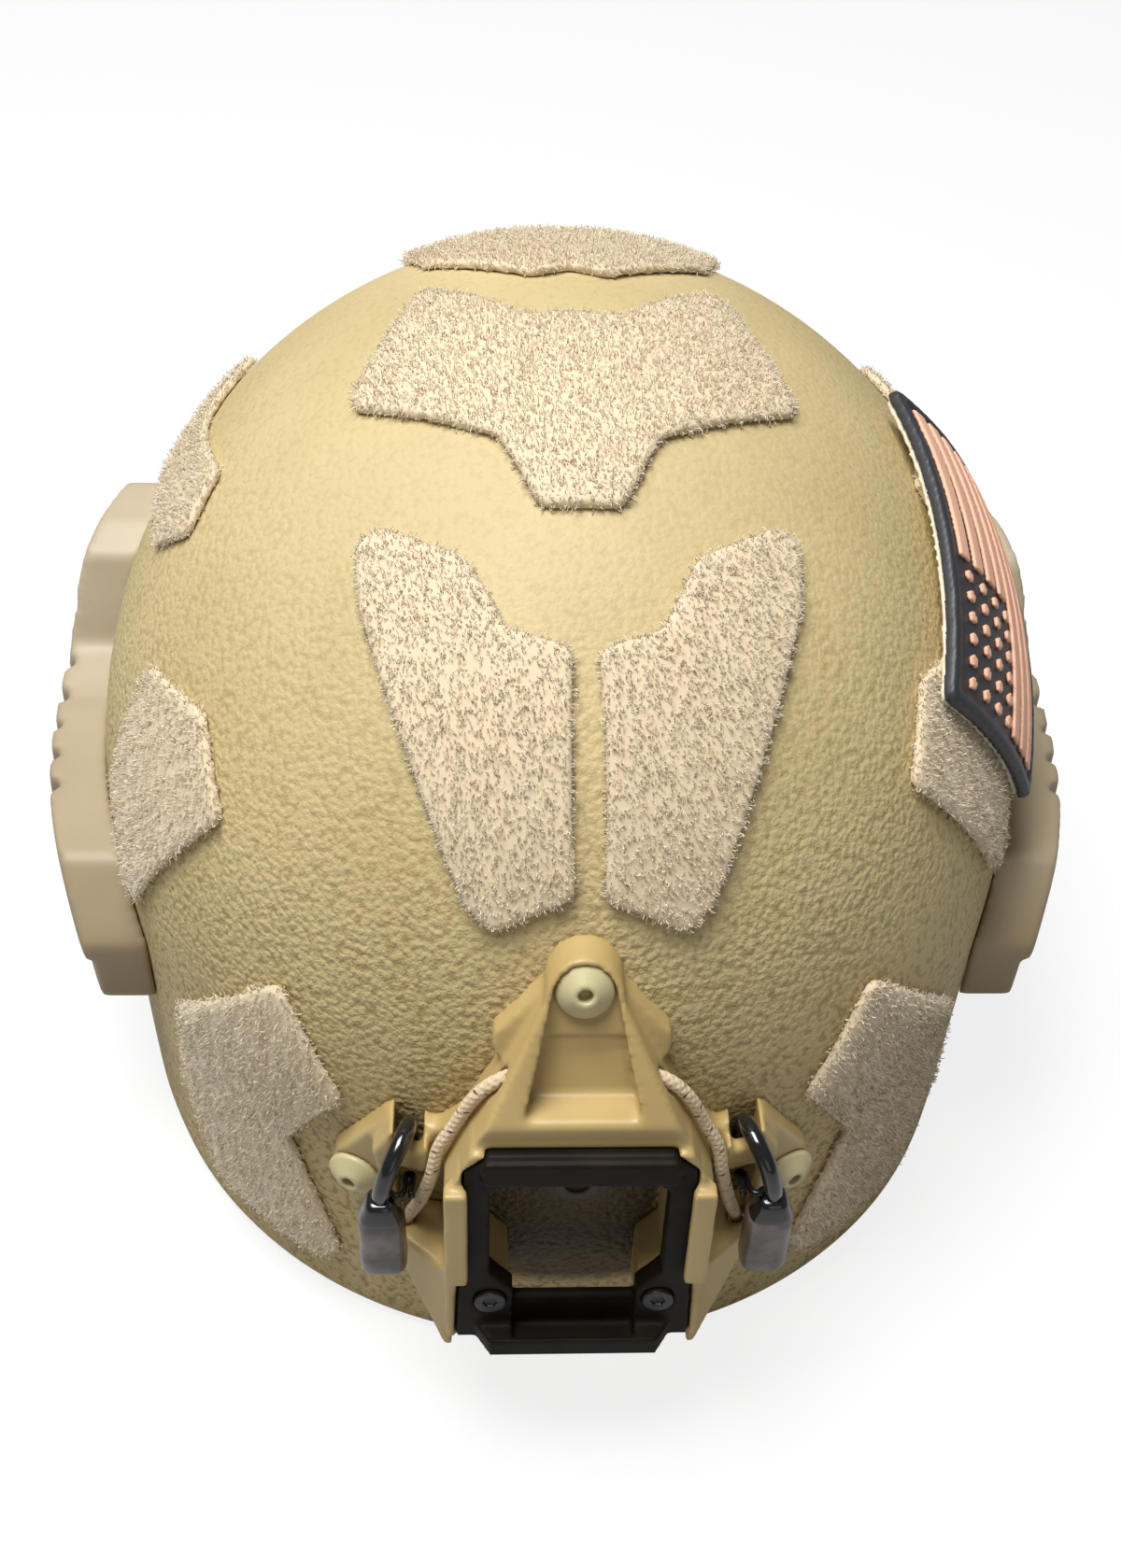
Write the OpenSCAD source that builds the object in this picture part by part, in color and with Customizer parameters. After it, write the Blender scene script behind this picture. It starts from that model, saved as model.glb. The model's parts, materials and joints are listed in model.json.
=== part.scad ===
// High-cut combat helmet with side rails, a front shroud, loop patches and a stowed chinstrap.
// +Z is up, the wearer faces -Y, and the rim rests on z = 0.

/* [Shell] */
// Width of the shell at the temples
shell_w = 224; // [216:1:236]
// Length of the shell from brow to nape
shell_l = 272; // [264:1:284]
// Radius of the rounded brow and nape seen from above
end_r = 103.5; // [102:0.5:106]
// Height of the shell's widest level above the rim
axis_h = 76; // [70:1:84]
// Thickness of the moulded shell
shell_t = 9; // [7:0.5:10]
// Height of the ear cut above the rim
ear_cut_h = 46; // [40:1:50]
// Length of the ear cut along the rim
ear_cut_l = 128; // [110:1:136]
// Distance of the ear cut's middle behind the shell's middle
ear_cut_y = 6; // [0:1:10]

/* [Rails] */
// How far the rail stands out from the shell
rail_t = 13.5; // [12:0.5:15]
// How far the front foot of the rail stands out
rail_foot_t = 11.5; // [10:0.5:12]
// Distance of the rail's front end ahead of the shell's middle
rail_front = 76; // [70:1:78]
// Distance of the rail's rear end behind the shell's middle
rail_rear = 80; // [76:1:86]
// Height of the rail's lower edge above the ear cut
rail_gap = 3; // [2:0.5:5]
// Height of the rail's front shelf above the widest level
rail_shelf = 8; // [4:1:12]
// Height of the rail's raised rear above the widest level
rail_hump = 38; // [32:1:42]
// Number of accessory notches along the rail
notch_count = 8; // [4:1:9]
// Pitch of the accessory notches
notch_pitch = 10; // [9:0.5:11]
// Width of an accessory notch
notch_w = 4; // [3:0.5:5]
// Depth of an accessory notch
notch_d = 2.5; // [1.5:0.5:4]
// Radius of the accessory holes in the rail
rail_hole_r = 2.6; // [2:0.1:3]
// Depth of the accessory holes in the rail
rail_hole_d = 8; // [6:0.5:9]
// Height of the rail screws below the widest level
rail_screw_drop = 14; // [12:1:18]
// Distance of the rail screws ahead of and behind the shell's middle
rail_screw_y = 58; // [54:1:62]

/* [Fasteners] */
// Radius of the threaded shanks
shank_r = 2.5; // [2:0.1:3]
// Radius of the domed shroud screw heads
head_r = 5.7; // [5.2:0.1:6.2]
// Height of the domed shroud screw heads
head_h = 3.6; // [3:0.1:4.5]
// Radius of the drive recess in a screw head
recess_r = 1.4; // [1.2:0.1:2]
// Radius of the flange of a nut inside the shell
nut_r = 7; // [6:0.5:8]
// Thickness of the flange of a nut inside the shell
nut_t = 1.8; // [1.2:0.1:2.5]

/* [Loop patches] */
// Thickness of a loop patch with its pile
patch_t = 2.2; // [1.5:0.1:3]
// Corner radius of a loop patch
patch_r = 3; // [2:0.5:4]

/* [Flag patch] */
// Length of the flag patch
flag_l = 84; // [76:1:92]
// Height of the flag patch
flag_h = 50; // [46:1:58]
// Thickness of the hook backing of the flag patch
flag_back_t = 1.4; // [1:0.1:2]
// Thickness of the rubber panel of the flag patch
flag_t = 2.6; // [2:0.1:3.5]
// Height of the raised figures on the flag patch
relief_t = 0.9; // [0.6:0.1:1.4]
// Number of raised stripes
stripe_count = 7; // [5:2:9]

/* [Shroud] */
// Half of the distance between the two lower shroud screws
screw_x = 43; // [42:0.5:44]
// Height of the upper shroud screw above the widest level
top_screw_z = 41; // [40:0.5:43]
// Depth of the lower shroud screws below the widest level
low_screw_drop = 15.5; // [14:0.5:17]
// How far the shroud's ears stand out from the shell
ear_t = 4.5; // [4:0.5:5]
// How far the shroud's raised nose stands out from the brow
nose_out = 11.5; // [10:0.5:13]
// Height of the insert
insert_h = 57; // [54:1:59]
// Half width of the insert at its top
insert_top_w = 22; // [21:0.5:22.5]
// Half width of the insert at its bottom
insert_low_w = 24; // [23:0.5:24.5]
// Thickness of the insert
insert_t = 5; // [4:0.5:6]
// Half width of the insert's window
window_w = 17.2; // [16:0.2:18]
// Reach of the insert's bottom lip
lip_out = 4.5; // [4:0.5:6]
// Clearance between the insert and the shroud body
insert_gap = 0.4; // [0.3:0.1:0.6]

/* [Retention hooks] */
// Radius of the elastic retention cord
cord_r = 1.4; // [1.2:0.1:1.6]
// Radius of the hook's wire
hook_r = 1.8; // [1.5:0.1:2]
// Radius of the spring gate's wire
gate_r = 0.7; // [0.6:0.1:0.8]
// Width of the ferrule
ferrule_w = 9.5; // [9:0.5:10]
// Height of the ferrule
ferrule_h = 17; // [14:1:18]
// Depth of the ferrule
ferrule_d = 8; // [7:0.5:9]

/* [Liner] */
// Thickness of the foam pads
pad_t = 19; // [14:1:20]
// Radius of the crown pad
crown_pad_r = 44; // [38:1:48]
// Radius of the hook discs glued inside the shell
disc_r = 16; // [12:1:18]
// Thickness of a hook disc
disc_t = 1.5; // [1:0.1:2]

/* [Dial fit] */
// Radius of the fit knob
knob_r = 15; // [13:0.5:16]
// Thickness of the fit knob
knob_t = 9; // [7:0.5:10]
// Number of grip flutes round the knob
knob_flutes = 16; // [12:2:20]
// Pitch radius of the pinion that drives both arms
pinion_r = 6; // [5.5:0.5:6]
// Number of teeth on the pinion
pinion_teeth = 12; // [12:1:12]
// Height of a fit arm
arm_h = 9; // [8:0.5:10]
// Thickness of a fit arm
arm_t = 2.4; // [2:0.1:3]
// Height of the dial's centre above the rim
dial_z = 31; // [29:1:33]

/* [Chinstrap] */
// Width of the chinstrap webbing
web_w = 19; // [16:1:20]
// Thickness of the chinstrap webbing
web_t = 1.6; // [1.2:0.1:2]
// Length of the chin cup
cup_l = 56; // [56:1:68]
// Width of the chin cup
cup_w = 34; // [30:1:38]
// Height of the chin cup
cup_h = 14; // [12:1:18]
// Wall of the chin cup
cup_t = 3; // [2:0.5:4]
// Length of the buckle's female half
buckle_l = 26; // [24:1:30]
// Width of the buckle
buckle_w = 27; // [25:1:30]
// Thickness of the buckle
buckle_t = 9; // [8:0.5:10]

/* [Hidden] */
$fn = 48;
far = 400;

// Gap left between soft pieces and what they lie on, and between parts on different bodies
seat = 0.1;
clear = 0.3;

// The oval seen from above: two end arcs of end_r and two long side arcs that meet them smoothly.
half_w = shell_w / 2;
half_l = shell_l / 2;
end_c = half_l - end_r;
side_c = (pow(end_c, 2) - pow(half_w - end_r, 2)) / (2 * (half_w - end_r));
side_r = half_w + side_c;
join_turn = atan2(end_c, side_c);

// The insert leans out towards its foot. With its lip it is the foremost point of the helmet.
insert_lean = 4;
insert_top = 16;
insert_face = nose_out + 2;
lip_reach = insert_face + insert_h * sin(insert_lean) + lip_out;
nape_head_h = 3;
shell_y = (lip_reach - nape_head_h - seat) / 2;

// Points of an arc of radius r about c, from angle a to angle b.
function arc_pts(c, r, a, b, n) =
    [for (i = [0:n]) c + r * [cos(a + (b - a) * i / n), sin(a + (b - a) * i / n)]];

// Outline p with every corner turned into a short arc of radius r, or less where an edge is short.
function unit(v) = v / norm(v);
function corner_pts(a, b, c, r, n) =
    let (u = unit(a - b), w = unit(c - b), half = acos(u * w) / 2)
    let (cut = min(r / tan(half), norm(a - b) * 0.45, norm(c - b) * 0.45), s = cut * tan(half))
    let (m = b + unit(u + w) * cut / cos(half), p0 = b + u * cut - m, p1 = b + w * cut - m)
    let (a0 = atan2(p0[1], p0[0]), a1 = atan2(p1[1], p1[0]))
    let (turn = a1 - a0 > 180 ? a1 - a0 - 360 : a1 - a0 < -180 ? a1 - a0 + 360 : a1 - a0)
    arc_pts(m, s, a0, a0 + turn, n);
function rounded(p, r, n = 4) =
    let (k = len(p))
    [for (i = [0:k - 1]) each corner_pts(p[(i + k - 1) % k], p[i], p[(i + 1) % k], r, n)];

// Outline p followed by its mirror image across the y axis, so that a half outline closes.
function both_sides(p) = concat(p, [for (i = [len(p) - 1:-1:0]) if (p[i][0] > 0.01) [-p[i][0], p[i][1]]]);

// A smooth curve through points p, with k steps from each point to the next.
function spline_at(a, b, c, d, t) =
    0.5 * ((2 * b) + (c - a) * t + (2 * a - 5 * b + 4 * c - d) * t * t + (3 * b - a - 3 * c + d) * t * t * t);
function smooth_path(p, k) =
    let (n = len(p) - 1)
    [for (i = [0:n - 1], j = [0:k - 1])
        spline_at(p[max(i - 1, 0)], p[i], p[i + 1], p[min(i + 2, n)], j / k), p[n]];
function heading(p, i) = unit(p[min(i + 1, len(p) - 1)] - p[max(i - 1, 0)]);

// A closed skin over a row of rings that all have the same number of points.
module skin(rings) {
    n = len(rings[0]);
    last = len(rings) - 1;
    sides = [for (i = [0:last - 1], j = [0:n - 1]) each
        [[i * n + j, i * n + (j + 1) % n, (i + 1) * n + j],
        [i * n + (j + 1) % n, (i + 1) * n + (j + 1) % n, (i + 1) * n + j]]];
    first_cap = [for (j = [1:n - 2]) [0, j + 1, j]];
    last_cap = [for (j = [1:n - 2]) [last * n, last * n + j, last * n + j + 1]];
    polyhedron([for (r = rings) each r], concat(sides, first_cap, last_cap));
}

// A round bar of radius r along path p. The vector across is never parallel to the path.
module bar(p, r, across, sides = 8) {
    skin([for (i = [0:len(p) - 1])
        let (t = heading(p, i), u = unit(cross(across, t)), w = cross(u, t))
        [for (j = [0:sides - 1]) p[i] + r * (cos(360 * j / sides) * u + sin(360 * j / sides) * w)]]);
}

// A flat ribbon along path p. It lies against the wall at its start and against the floor at its end.
module ribbon(p, width, t, wall, floor_dir) {
    n = len(p) - 1;
    skin([for (i = [0:n])
        let (go = heading(p, i), face = unit(wall * (n - i) + floor_dir * i))
        let (side = unit(cross(go, face)) * width / 2, up = unit(cross(side, go)) * t / 2)
        [p[i] - side - up, p[i] + side - up, p[i] + side + up, p[i] - side + up]]);
}

// Half of the oval, x >= 0, grown by off.
module half_oval(off) {
    intersection() {
        translate([-side_c, 0]) circle(side_r + off, $fn = 96);
        polygon([[-side_c, 0], [0, -end_c], [far * cos(join_turn), -end_c - far * sin(join_turn)],
            [far * cos(join_turn), end_c + far * sin(join_turn)], [0, end_c]]);
        translate([0, -far]) square([far, 2 * far]);
    }
    for (s = [-1, 1]) intersection() {
        translate([0, s * end_c]) circle(end_r + off, $fn = 96);
        polygon([[0, s * end_c], [0, s * far], [far * cos(join_turn), s * far],
            [far * cos(join_turn), s * (end_c + far * sin(join_turn))]]);
    }
}

// The shell's outer form grown by off: a half oval turned over the top, and straight walls below.
module form(off, drop = 0) {
    translate([0, shell_y, axis_h]) {
        rotate([90, 0, 0]) rotate_extrude(angle = 180, $fn = 96) half_oval(off);
        translate([0, 0, -axis_h - drop]) linear_extrude(axis_h + drop) {
            half_oval(off);
            mirror([1, 0]) half_oval(off);
        }
    }
}

// A layer that lies on the shell between two heights off its surface, kept where the children are.
module layer(low, high) {
    difference() {
        intersection() {
            form(high);
            children();
        }
        form(low, 1);
    }
}

// Frames to draw in. Each keeps its place when the shell changes size.
module at_axis() {
    translate([0, shell_y, axis_h]) children();
}
module at_brow() {
    translate([0, shell_y - half_l, axis_h]) children();
}
module at_nape() {
    translate([0, shell_y + half_l, dial_z]) children();
}

// A frame on the shell at point p about the widest level: +Z out, turned to turn and raised by tilt.
module facing(p, turn, tilt) {
    at_axis() translate(p) rotate([0, 0, turn]) rotate([90 - tilt, 0, 0]) children();
}

// A shape drawn from the front, carried along y from y0 to y1 about the brow.
module front_view(y0, y1) {
    at_brow() translate([0, y1, 0]) rotate([90, 0, 0]) linear_extrude(y1 - y0) children();
}

// A shape drawn from the side, y and z, carried along x from x0 to x1.
module side_view(x0, x1) {
    translate([x0, 0, 0]) rotate([90, 0, 90]) linear_extrude(x1 - x0) children();
}

module mirrored() {
    children();
    mirror([1, 0, 0]) children();
}

// Where a fastener with a level axis meets the long side arc: its point and its turn, y from the middle.
function side_point(y, z) = [sqrt(pow(side_r, 2) - y * y) - side_c, y, z];
function side_turn(y) = 90 + asin(y / side_r);

// Where a fastener meets the rounded brow: its point, its turn and its tilt.
function brow_point(x, z) = [x, -end_c - sqrt(pow(end_r, 2) - x * x - (z > 0 ? z * z : 0)), z];
function brow_turn(x) = asin(x / end_r);
function brow_tilt(z) = z > 0 ? asin(z / end_r) : 0;

// Fasteners. Each one is drawn along +Z with z = 0 on the shell's outer surface.
wall_sag = 0.4;
bore_r = shank_r + 1.3;
sleeve_r = shank_r + 1.2;
shank_clear = 0.1;
module bolt_bore() {
    translate([0, 0, -shell_t - 5]) cylinder(r = bore_r, h = shell_t + 30);
}
module bolt(head_radius, head_height, seat_z) {
    translate([0, 0, -shell_t - 1]) cylinder(r = shank_r, h = shell_t + 1 + seat_z + 0.5);
    difference() {
        translate([0, 0, seat_z]) {
            cylinder(r = head_radius, h = head_height * 0.35);
            translate([0, 0, head_height * 0.35]) cylinder(r1 = head_radius, r2 = recess_r * 1.6,
                h = head_height * 0.65);
        }
        translate([0, 0, seat_z + head_height * 0.3]) cylinder(r = recess_r, h = head_height);
    }
}
module sleeve_nut(under) {
    difference() {
        union() {
            translate([0, 0, -shell_t - under - nut_t]) cylinder(r = nut_r, h = nut_t);
            translate([0, 0, -shell_t - under - nut_t]) cylinder(r = sleeve_r, h = under + nut_t + 6);
        }
        translate([0, 0, -shell_t - under - nut_t - 1]) cylinder(r = shank_r + shank_clear,
            h = under + nut_t + 8);
    }
}

module at_rail_bolts() {
    for (y = [-rail_screw_y, rail_screw_y])
        facing(side_point(y, -rail_screw_drop), side_turn(y), 0) children();
}
module at_low_bolts() {
    mirrored() facing(brow_point(screw_x, -low_screw_drop), brow_turn(screw_x), 0) children();
}
module at_top_bolt() {
    facing(brow_point(0, top_screw_z), 0, brow_tilt(top_screw_z)) children();
}
nape_screw_z = 22;
module at_nape_bolt() {
    facing([0, half_l, dial_z + nape_screw_z - axis_h], 180, 0) children();
}

// Shell
ear_low = -axis_h + ear_cut_h;
ear_front = ear_cut_y - ear_cut_l / 2;
ear_rear = ear_cut_y + ear_cut_l / 2;
ear_pts = rounded([[ear_front, -far], [ear_front, -axis_h + 6], [ear_front + 26, ear_low],
    [ear_rear - 30, ear_low], [ear_rear, -axis_h + 6], [ear_rear, -far]], 22, 6);

module shell() {
    color([0.72, 0.63, 0.42]) difference() {
        form(0);
        form(-shell_t, 1);
        at_axis() side_view(-far, far) polygon(ear_pts);
        mirrored() at_rail_bolts() bolt_bore();
        at_low_bolts() bolt_bore();
        at_top_bolt() bolt_bore();
        at_nape_bolt() bolt_bore();
    }
}

// Rails
rail_low = ear_low + rail_gap;
rail_seat = rail_t - 5;
rail_bolt_r = 5.5;
rail_pts = rounded([[-rail_front, rail_low], [-rail_front, rail_low + 20], [-rail_front + 14, rail_shelf],
    [-6, rail_shelf + 1], [10, rail_shelf + 5], [20, rail_hump - 4], [30, rail_hump],
    [rail_rear - 32, rail_hump], [rail_rear - 14, rail_hump - 16], [rail_rear, rail_shelf - 6],
    [rail_rear - 4, rail_low]], 5, 4);
foot_l = 26;
foot_h = 15;
foot_pts = [[-rail_front - 2, rail_low - 2], [-rail_front - 2, rail_low + foot_h],
    [-rail_front + foot_l, rail_low + foot_h], [-rail_front + foot_l, rail_low - 2]];
notch_low = rail_shelf - 14;
hole_pitch = 32;
hole_ys = [-hole_pitch, 0, hole_pitch];

module rail_right() {
    color([0.76, 0.68, 0.5]) difference() {
        layer(seat, rail_t) at_axis() side_view(0, far) polygon(rail_pts);
        intersection() {
            at_axis() side_view(0, far) polygon(foot_pts);
            difference() {
                form(rail_t + 5);
                form(rail_foot_t);
            }
        }
        at_rail_bolts() {
            cylinder(r = shank_r + 0.3, h = far / 4, center = true);
            translate([0, 0, rail_seat]) cylinder(r = rail_bolt_r + 0.5, h = far / 4);
        }
        for (i = [0:notch_count - 1]) let (y = (i - (notch_count - 1) / 2) * notch_pitch)
            facing(side_point(y, 0), side_turn(y), 0)
                translate([-notch_w / 2, notch_low, rail_t - notch_d]) cube([notch_w, far / 4, far / 4]);
        for (y = hole_ys) facing(side_point(y, -rail_screw_drop), side_turn(y), 0)
            translate([0, 0, rail_t - rail_hole_d]) cylinder(r = rail_hole_r, h = far / 4);
    }
}
module rail_left() {
    mirror([1, 0, 0]) rail_right();
}
module rail_screws() {
    color([0.74, 0.69, 0.52]) mirrored() at_rail_bolts() bolt(rail_bolt_r, 3, rail_seat);
}
module rail_nuts() {
    color([0.3, 0.3, 0.3]) mirrored() at_rail_bolts() sleeve_nut(web_t + wall_sag + seat);
}

// Shroud, drawn from the front with x = 0 on the helmet's middle and y = 0 at the widest level
nose_top = [5, top_screw_z + 8.5];
nose_r = 7.5;
nose_c = nose_top[1] - nose_r;
nose_low = insert_top + 5.5;
base_w = insert_top_w - 1.2;
shroud_low = insert_top - insert_h - 11;
ear_low_w = 26.8;
slot_low = -23;
wall_x = insert_low_w + insert_gap + 1.6;
wing_pts = both_sides([[0, 24], [13, 24], [17, 29.5], [16.8, 32.5], [8, 42], [0, 42]]);
// The ear goes round its screw, and a flank runs down from it to the rim beside the insert.
flank_edge = [33.5, -37];
ear_outline = rounded(both_sides([[21, 14], [27.5, 6.5], [35.6, 8.3], [37.6, 6.8],
    [screw_x + 5.5, 5 - low_screw_drop], [screw_x + 6.8, -1 - low_screw_drop],
    [screw_x + 5, -6 - low_screw_drop], [screw_x, -8 - low_screw_drop], flank_edge,
    [ear_low_w, shroud_low]]), 2, 3);
nose_side = [[far / 8, nose_top[1]], [nose_top[0], nose_top[1]], [-nose_out, nose_low],
    [-nose_out, insert_top + clear], [far / 8, insert_top + clear]];
frame_outline = both_sides([[0, insert_top + clear], [base_w, insert_top + clear], [wall_x, 4],
    [wall_x, shroud_low], [0, shroud_low]]);
flank_outline = [[wall_x - 1, slot_low], [38.5, slot_low], flank_edge, [ear_low_w, shroud_low],
    [wall_x - 1, shroud_low]];
lip_top = 4.6 - insert_h;
pocket_w = window_w - 4.7;
insert_outline = both_sides([[0, 0], [insert_top_w - 4.5, 0], [insert_top_w, -4.5], [insert_low_w, -insert_h],
    [0, -insert_h]]);
window_top = -7.8;
window_outline = both_sides([[0, window_top], [window_w - 3, window_top], [window_w, window_top - 3],
    [window_w, -36], [pocket_w, -42], [pocket_w, lip_top - 3.4], [0, lip_top - 3.4]]);
open_outline = both_sides([[0, window_top + 0.6], [window_w + 0.8, window_top + 0.6], [window_w + 0.8, -37],
    [pocket_w + 0.8, -43], [pocket_w + 0.8, -far], [0, -far]]);

// The insert's own frame: origin at the middle of its top edge on its front face, +Y into the helmet
module at_insert() {
    at_brow() translate([0, -insert_face, insert_top]) rotate([-insert_lean, 0, 0]) children();
}
module insert_view(y0, y1) {
    at_insert() translate([0, y1, 0]) rotate([90, 0, 0]) linear_extrude(y1 - y0) children();
}
module grown(d) {
    for (x = [-d, d]) translate([x, 0]) children();
}

// The hook's bar and slot on the ear
hook_x = 33;
slot_half = 2.9;
hook_bar_low = -2.3;
hook_bar_top = 4.2;
bar_back = 5.4;
bar_front = 8.5;
pad_outline = [[29.1, 5.4], [36.5, 8], [40.5, 0], [38.5, -9], [38.5, slot_low], [29.1, slot_low]];

// The route of the right cord, from its hole beside the nose to its hole at the ear's foot
cord_points = [[12.5, -2.6, 26.9], [15.4, -3.2, 26], [18.2, -3.7, 24], [20.9, -4, 20.2],
    [23.8, -4.3, 13.8], [27, -5.2, 7.5], [28.6, -6.1, -0.5], [30.9, -4.2, -10.9], [32.9, -1.8, -18.4],
    [34, -0.5, -22.6], [34.8, 0.4, -26]];
cord_hole_d = 9;

// A round hole of radius r that starts at a and runs towards b for the given length
module tunnel(a, b, r, length) {
    d = unit(b - a);
    translate(a) rotate([0, acos(d[2]), atan2(d[1], d[0])]) cylinder(r = r, h = length);
}

// The dish sunk into the nose round the top screw, and the slope of the frame's face
dish_c = nose_c + 0.6;
dish_side = [[-far / 8, nose_low + 1], [-3.8, nose_low + 1], [1.4, top_screw_z - 7.8],
    [0.5, top_screw_z - 7], [7.5, nose_top[1] + 0.3], [7.5, nose_top[1] + 17], [-far / 8, nose_top[1] + 17]];
dish_front = both_sides([[0, nose_low - 1.5], [11.6, nose_low - 1.5], [8.4, nose_c - 9.5],
    [head_r + 0.4, dish_c], [0, dish_c]]);
frame_side = [[-insert_face - 0.2, insert_top + 1],
    [-insert_face - 0.2 - insert_h * sin(insert_lean), insert_top - insert_h],
    [-5, shroud_low], [far / 8, shroud_low], [far / 8, insert_top + 1]];
tab_z = [-36.5, -8.5];
tab_out = 2.8;
tab_over = 0.6;

module shroud_body() {
    color([0.74, 0.64, 0.42]) difference() {
        union() {
            layer(seat, ear_t) front_view(-far / 8, far / 4) {
                polygon(wing_pts);
                polygon(ear_outline);
            }
            mirrored() layer(seat, bar_front) front_view(-far / 8, far / 4) polygon(pad_outline);
            difference() {
                intersection() {
                    at_brow() side_view(-far / 8, far / 8) polygon(nose_side);
                    front_view(-far / 8, far / 8) {
                        translate([0, nose_c]) circle(nose_r);
                        polygon(both_sides([[0, insert_top], [base_w, insert_top], [nose_r - 0.1, nose_c],
                            [0, nose_c]]));
                    }
                }
                form(seat, 1);
                intersection() {
                    at_brow() side_view(-far / 8, far / 8) polygon(dish_side);
                    front_view(-far / 8, far / 8) {
                        translate([0, dish_c - clear]) circle(head_r + 0.4);
                        polygon(dish_front);
                    }
                }
            }
            difference() {
                intersection() {
                    front_view(-far / 8, far / 8) polygon(frame_outline);
                    at_brow() side_view(-far / 8, far / 8) polygon(frame_side);
                }
                form(seat, 1);
            }
            mirrored() difference() {
                intersection() {
                    front_view(-far / 8, far / 8) polygon(flank_outline);
                    at_brow() translate([0, 0, shroud_low - 2]) linear_extrude(far / 8)
                        polygon([[wall_x - 1, -insert_face], [wall_x, -insert_face], [40, -1], [40, far / 8],
                            [wall_x - 1, far / 8]]);
                }
                form(seat, 1);
            }
            mirrored() at_insert() translate([insert_top_w - tab_over, -tab_out, tab_z[0]])
                cube([wall_x - insert_top_w + tab_over, tab_out + 1, tab_z[1] - tab_z[0]]);
        }
        insert_view(-clear, insert_t) grown(insert_gap) polygon(insert_outline);
        insert_view(-clear, far / 8) polygon(open_outline);
        insert_view(-far / 8, far / 8) translate([-insert_low_w - insert_gap, -far - insert_h - insert_gap])
            square([2 * (insert_low_w + insert_gap), far]);
        mirrored() {
            layer(-1, bar_back) front_view(-far / 8, far / 4)
                translate([hook_x - slot_half, slot_low]) square([2 * slot_half, far / 8]);
            front_view(-far / 8, far / 4) translate([hook_x - slot_half, hook_bar_top])
                square([2 * slot_half, far / 8]);
            front_view(-far / 8, far / 4) translate([wall_x + 0.6, slot_low])
                square([hook_x + slot_half - wall_x - 0.6, hook_bar_low - slot_low]);
            at_brow() tunnel(cord_points[2], cord_points[0], cord_r + 0.5, cord_hole_d);
            at_brow() tunnel(cord_points[8], cord_points[10], cord_r + 0.5, cord_hole_d + 2);
        }
        at_low_bolts() {
            translate([0, 0, -1]) cylinder(r = shank_r + 0.3, h = far / 8);
            translate([0, 0, ear_t - 0.6]) cylinder(r = head_r + 0.4, h = far / 8);
        }
        at_top_bolt() {
            translate([0, 0, -1]) cylinder(r = shank_r + 0.3, h = far / 8);
        }
        insert_bolts() translate([0, 0, -8]) cylinder(r = 1.5, h = 20);
    }
}

insert_screw_x = 17;
insert_screw_z = -44.7;
module insert_bolts() {
    mirrored() at_insert() translate([insert_screw_x, 0, insert_screw_z]) rotate([90, 0, 0]) children();
}

module shroud_insert() {
    color([0.15, 0.12, 0.08]) difference() {
        union() {
            insert_view(0, insert_t - 0.3) difference() {
                polygon(insert_outline);
                polygon(window_outline);
            }
            insert_view(-1.6, 0.5) polygon(both_sides([[0, -0.8], [insert_top_w - 4.2, -0.8],
                [insert_top_w - 2.6, -2.4], [insert_top_w - 3.9, 0.7 + window_top], [0, 0.7 + window_top]]));
            insert_view(2.6, insert_t - 0.3) polygon(both_sides([[0, -46.7], [pocket_w + 1, -46.7],
                [pocket_w + 1, lip_top - 4], [0, lip_top - 4]]));
            difference() {
                at_insert() translate([0, 0, -insert_h]) linear_extrude(lip_top + insert_h)
                    polygon([[-20, 1], [-20, 0], [-17, -lip_out], [17, -lip_out], [20, 0], [20, 1]]);
                insert_view(1.3 - lip_out, 2) polygon(both_sides([[0, lip_top + 1], [pocket_w, lip_top + 1],
                    [pocket_w, lip_top - 3.4], [0, lip_top - 3.4]]));
            }
        }
        insert_bolts() translate([0, 0, -8]) cylinder(r = 1.6, h = 20);
        insert_bolts() translate([0, 0, -1]) cylinder(r = 3.4, h = 20);
    }
}

module insert_screws() {
    color([0.1, 0.1, 0.1]) insert_bolts() {
        translate([0, 0, -7.5]) cylinder(r = 1.4, h = 7);
        difference() {
            translate([0, 0, -0.9]) cylinder(r = 3.2, h = 1.6);
            translate([0, 0, 0]) cylinder(r = 1.5, h = 1, $fn = 6);
        }
    }
}

module shroud_screws() {
    color([0.82, 0.79, 0.63]) {
        at_low_bolts() bolt(head_r, head_h, ear_t - 0.5);
        at_top_bolt() bolt(head_r - 0.2, head_h, 4.6);
    }
}

module shroud_nuts() {
    color([0.3, 0.3, 0.3]) {
        at_low_bolts() sleeve_nut(wall_sag);
        at_top_bolt() sleeve_nut(wall_sag);
    }
}

module stop_block() {
    color([0.16, 0.13, 0.1]) difference() {
        union() {
            front_view(-5.5, far / 8)
                polygon(rounded(both_sides([[9.5, 2.4], [9, -2.5], [4.6, -9.5]]), 1, 3));
            front_view(-7.5, 0) translate([0, -2.5]) circle(4.8);
        }
        form(seat, 1);
        front_view(-far / 8, -6.3) translate([0, -2.5]) circle(2.4);
    }
}

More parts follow.
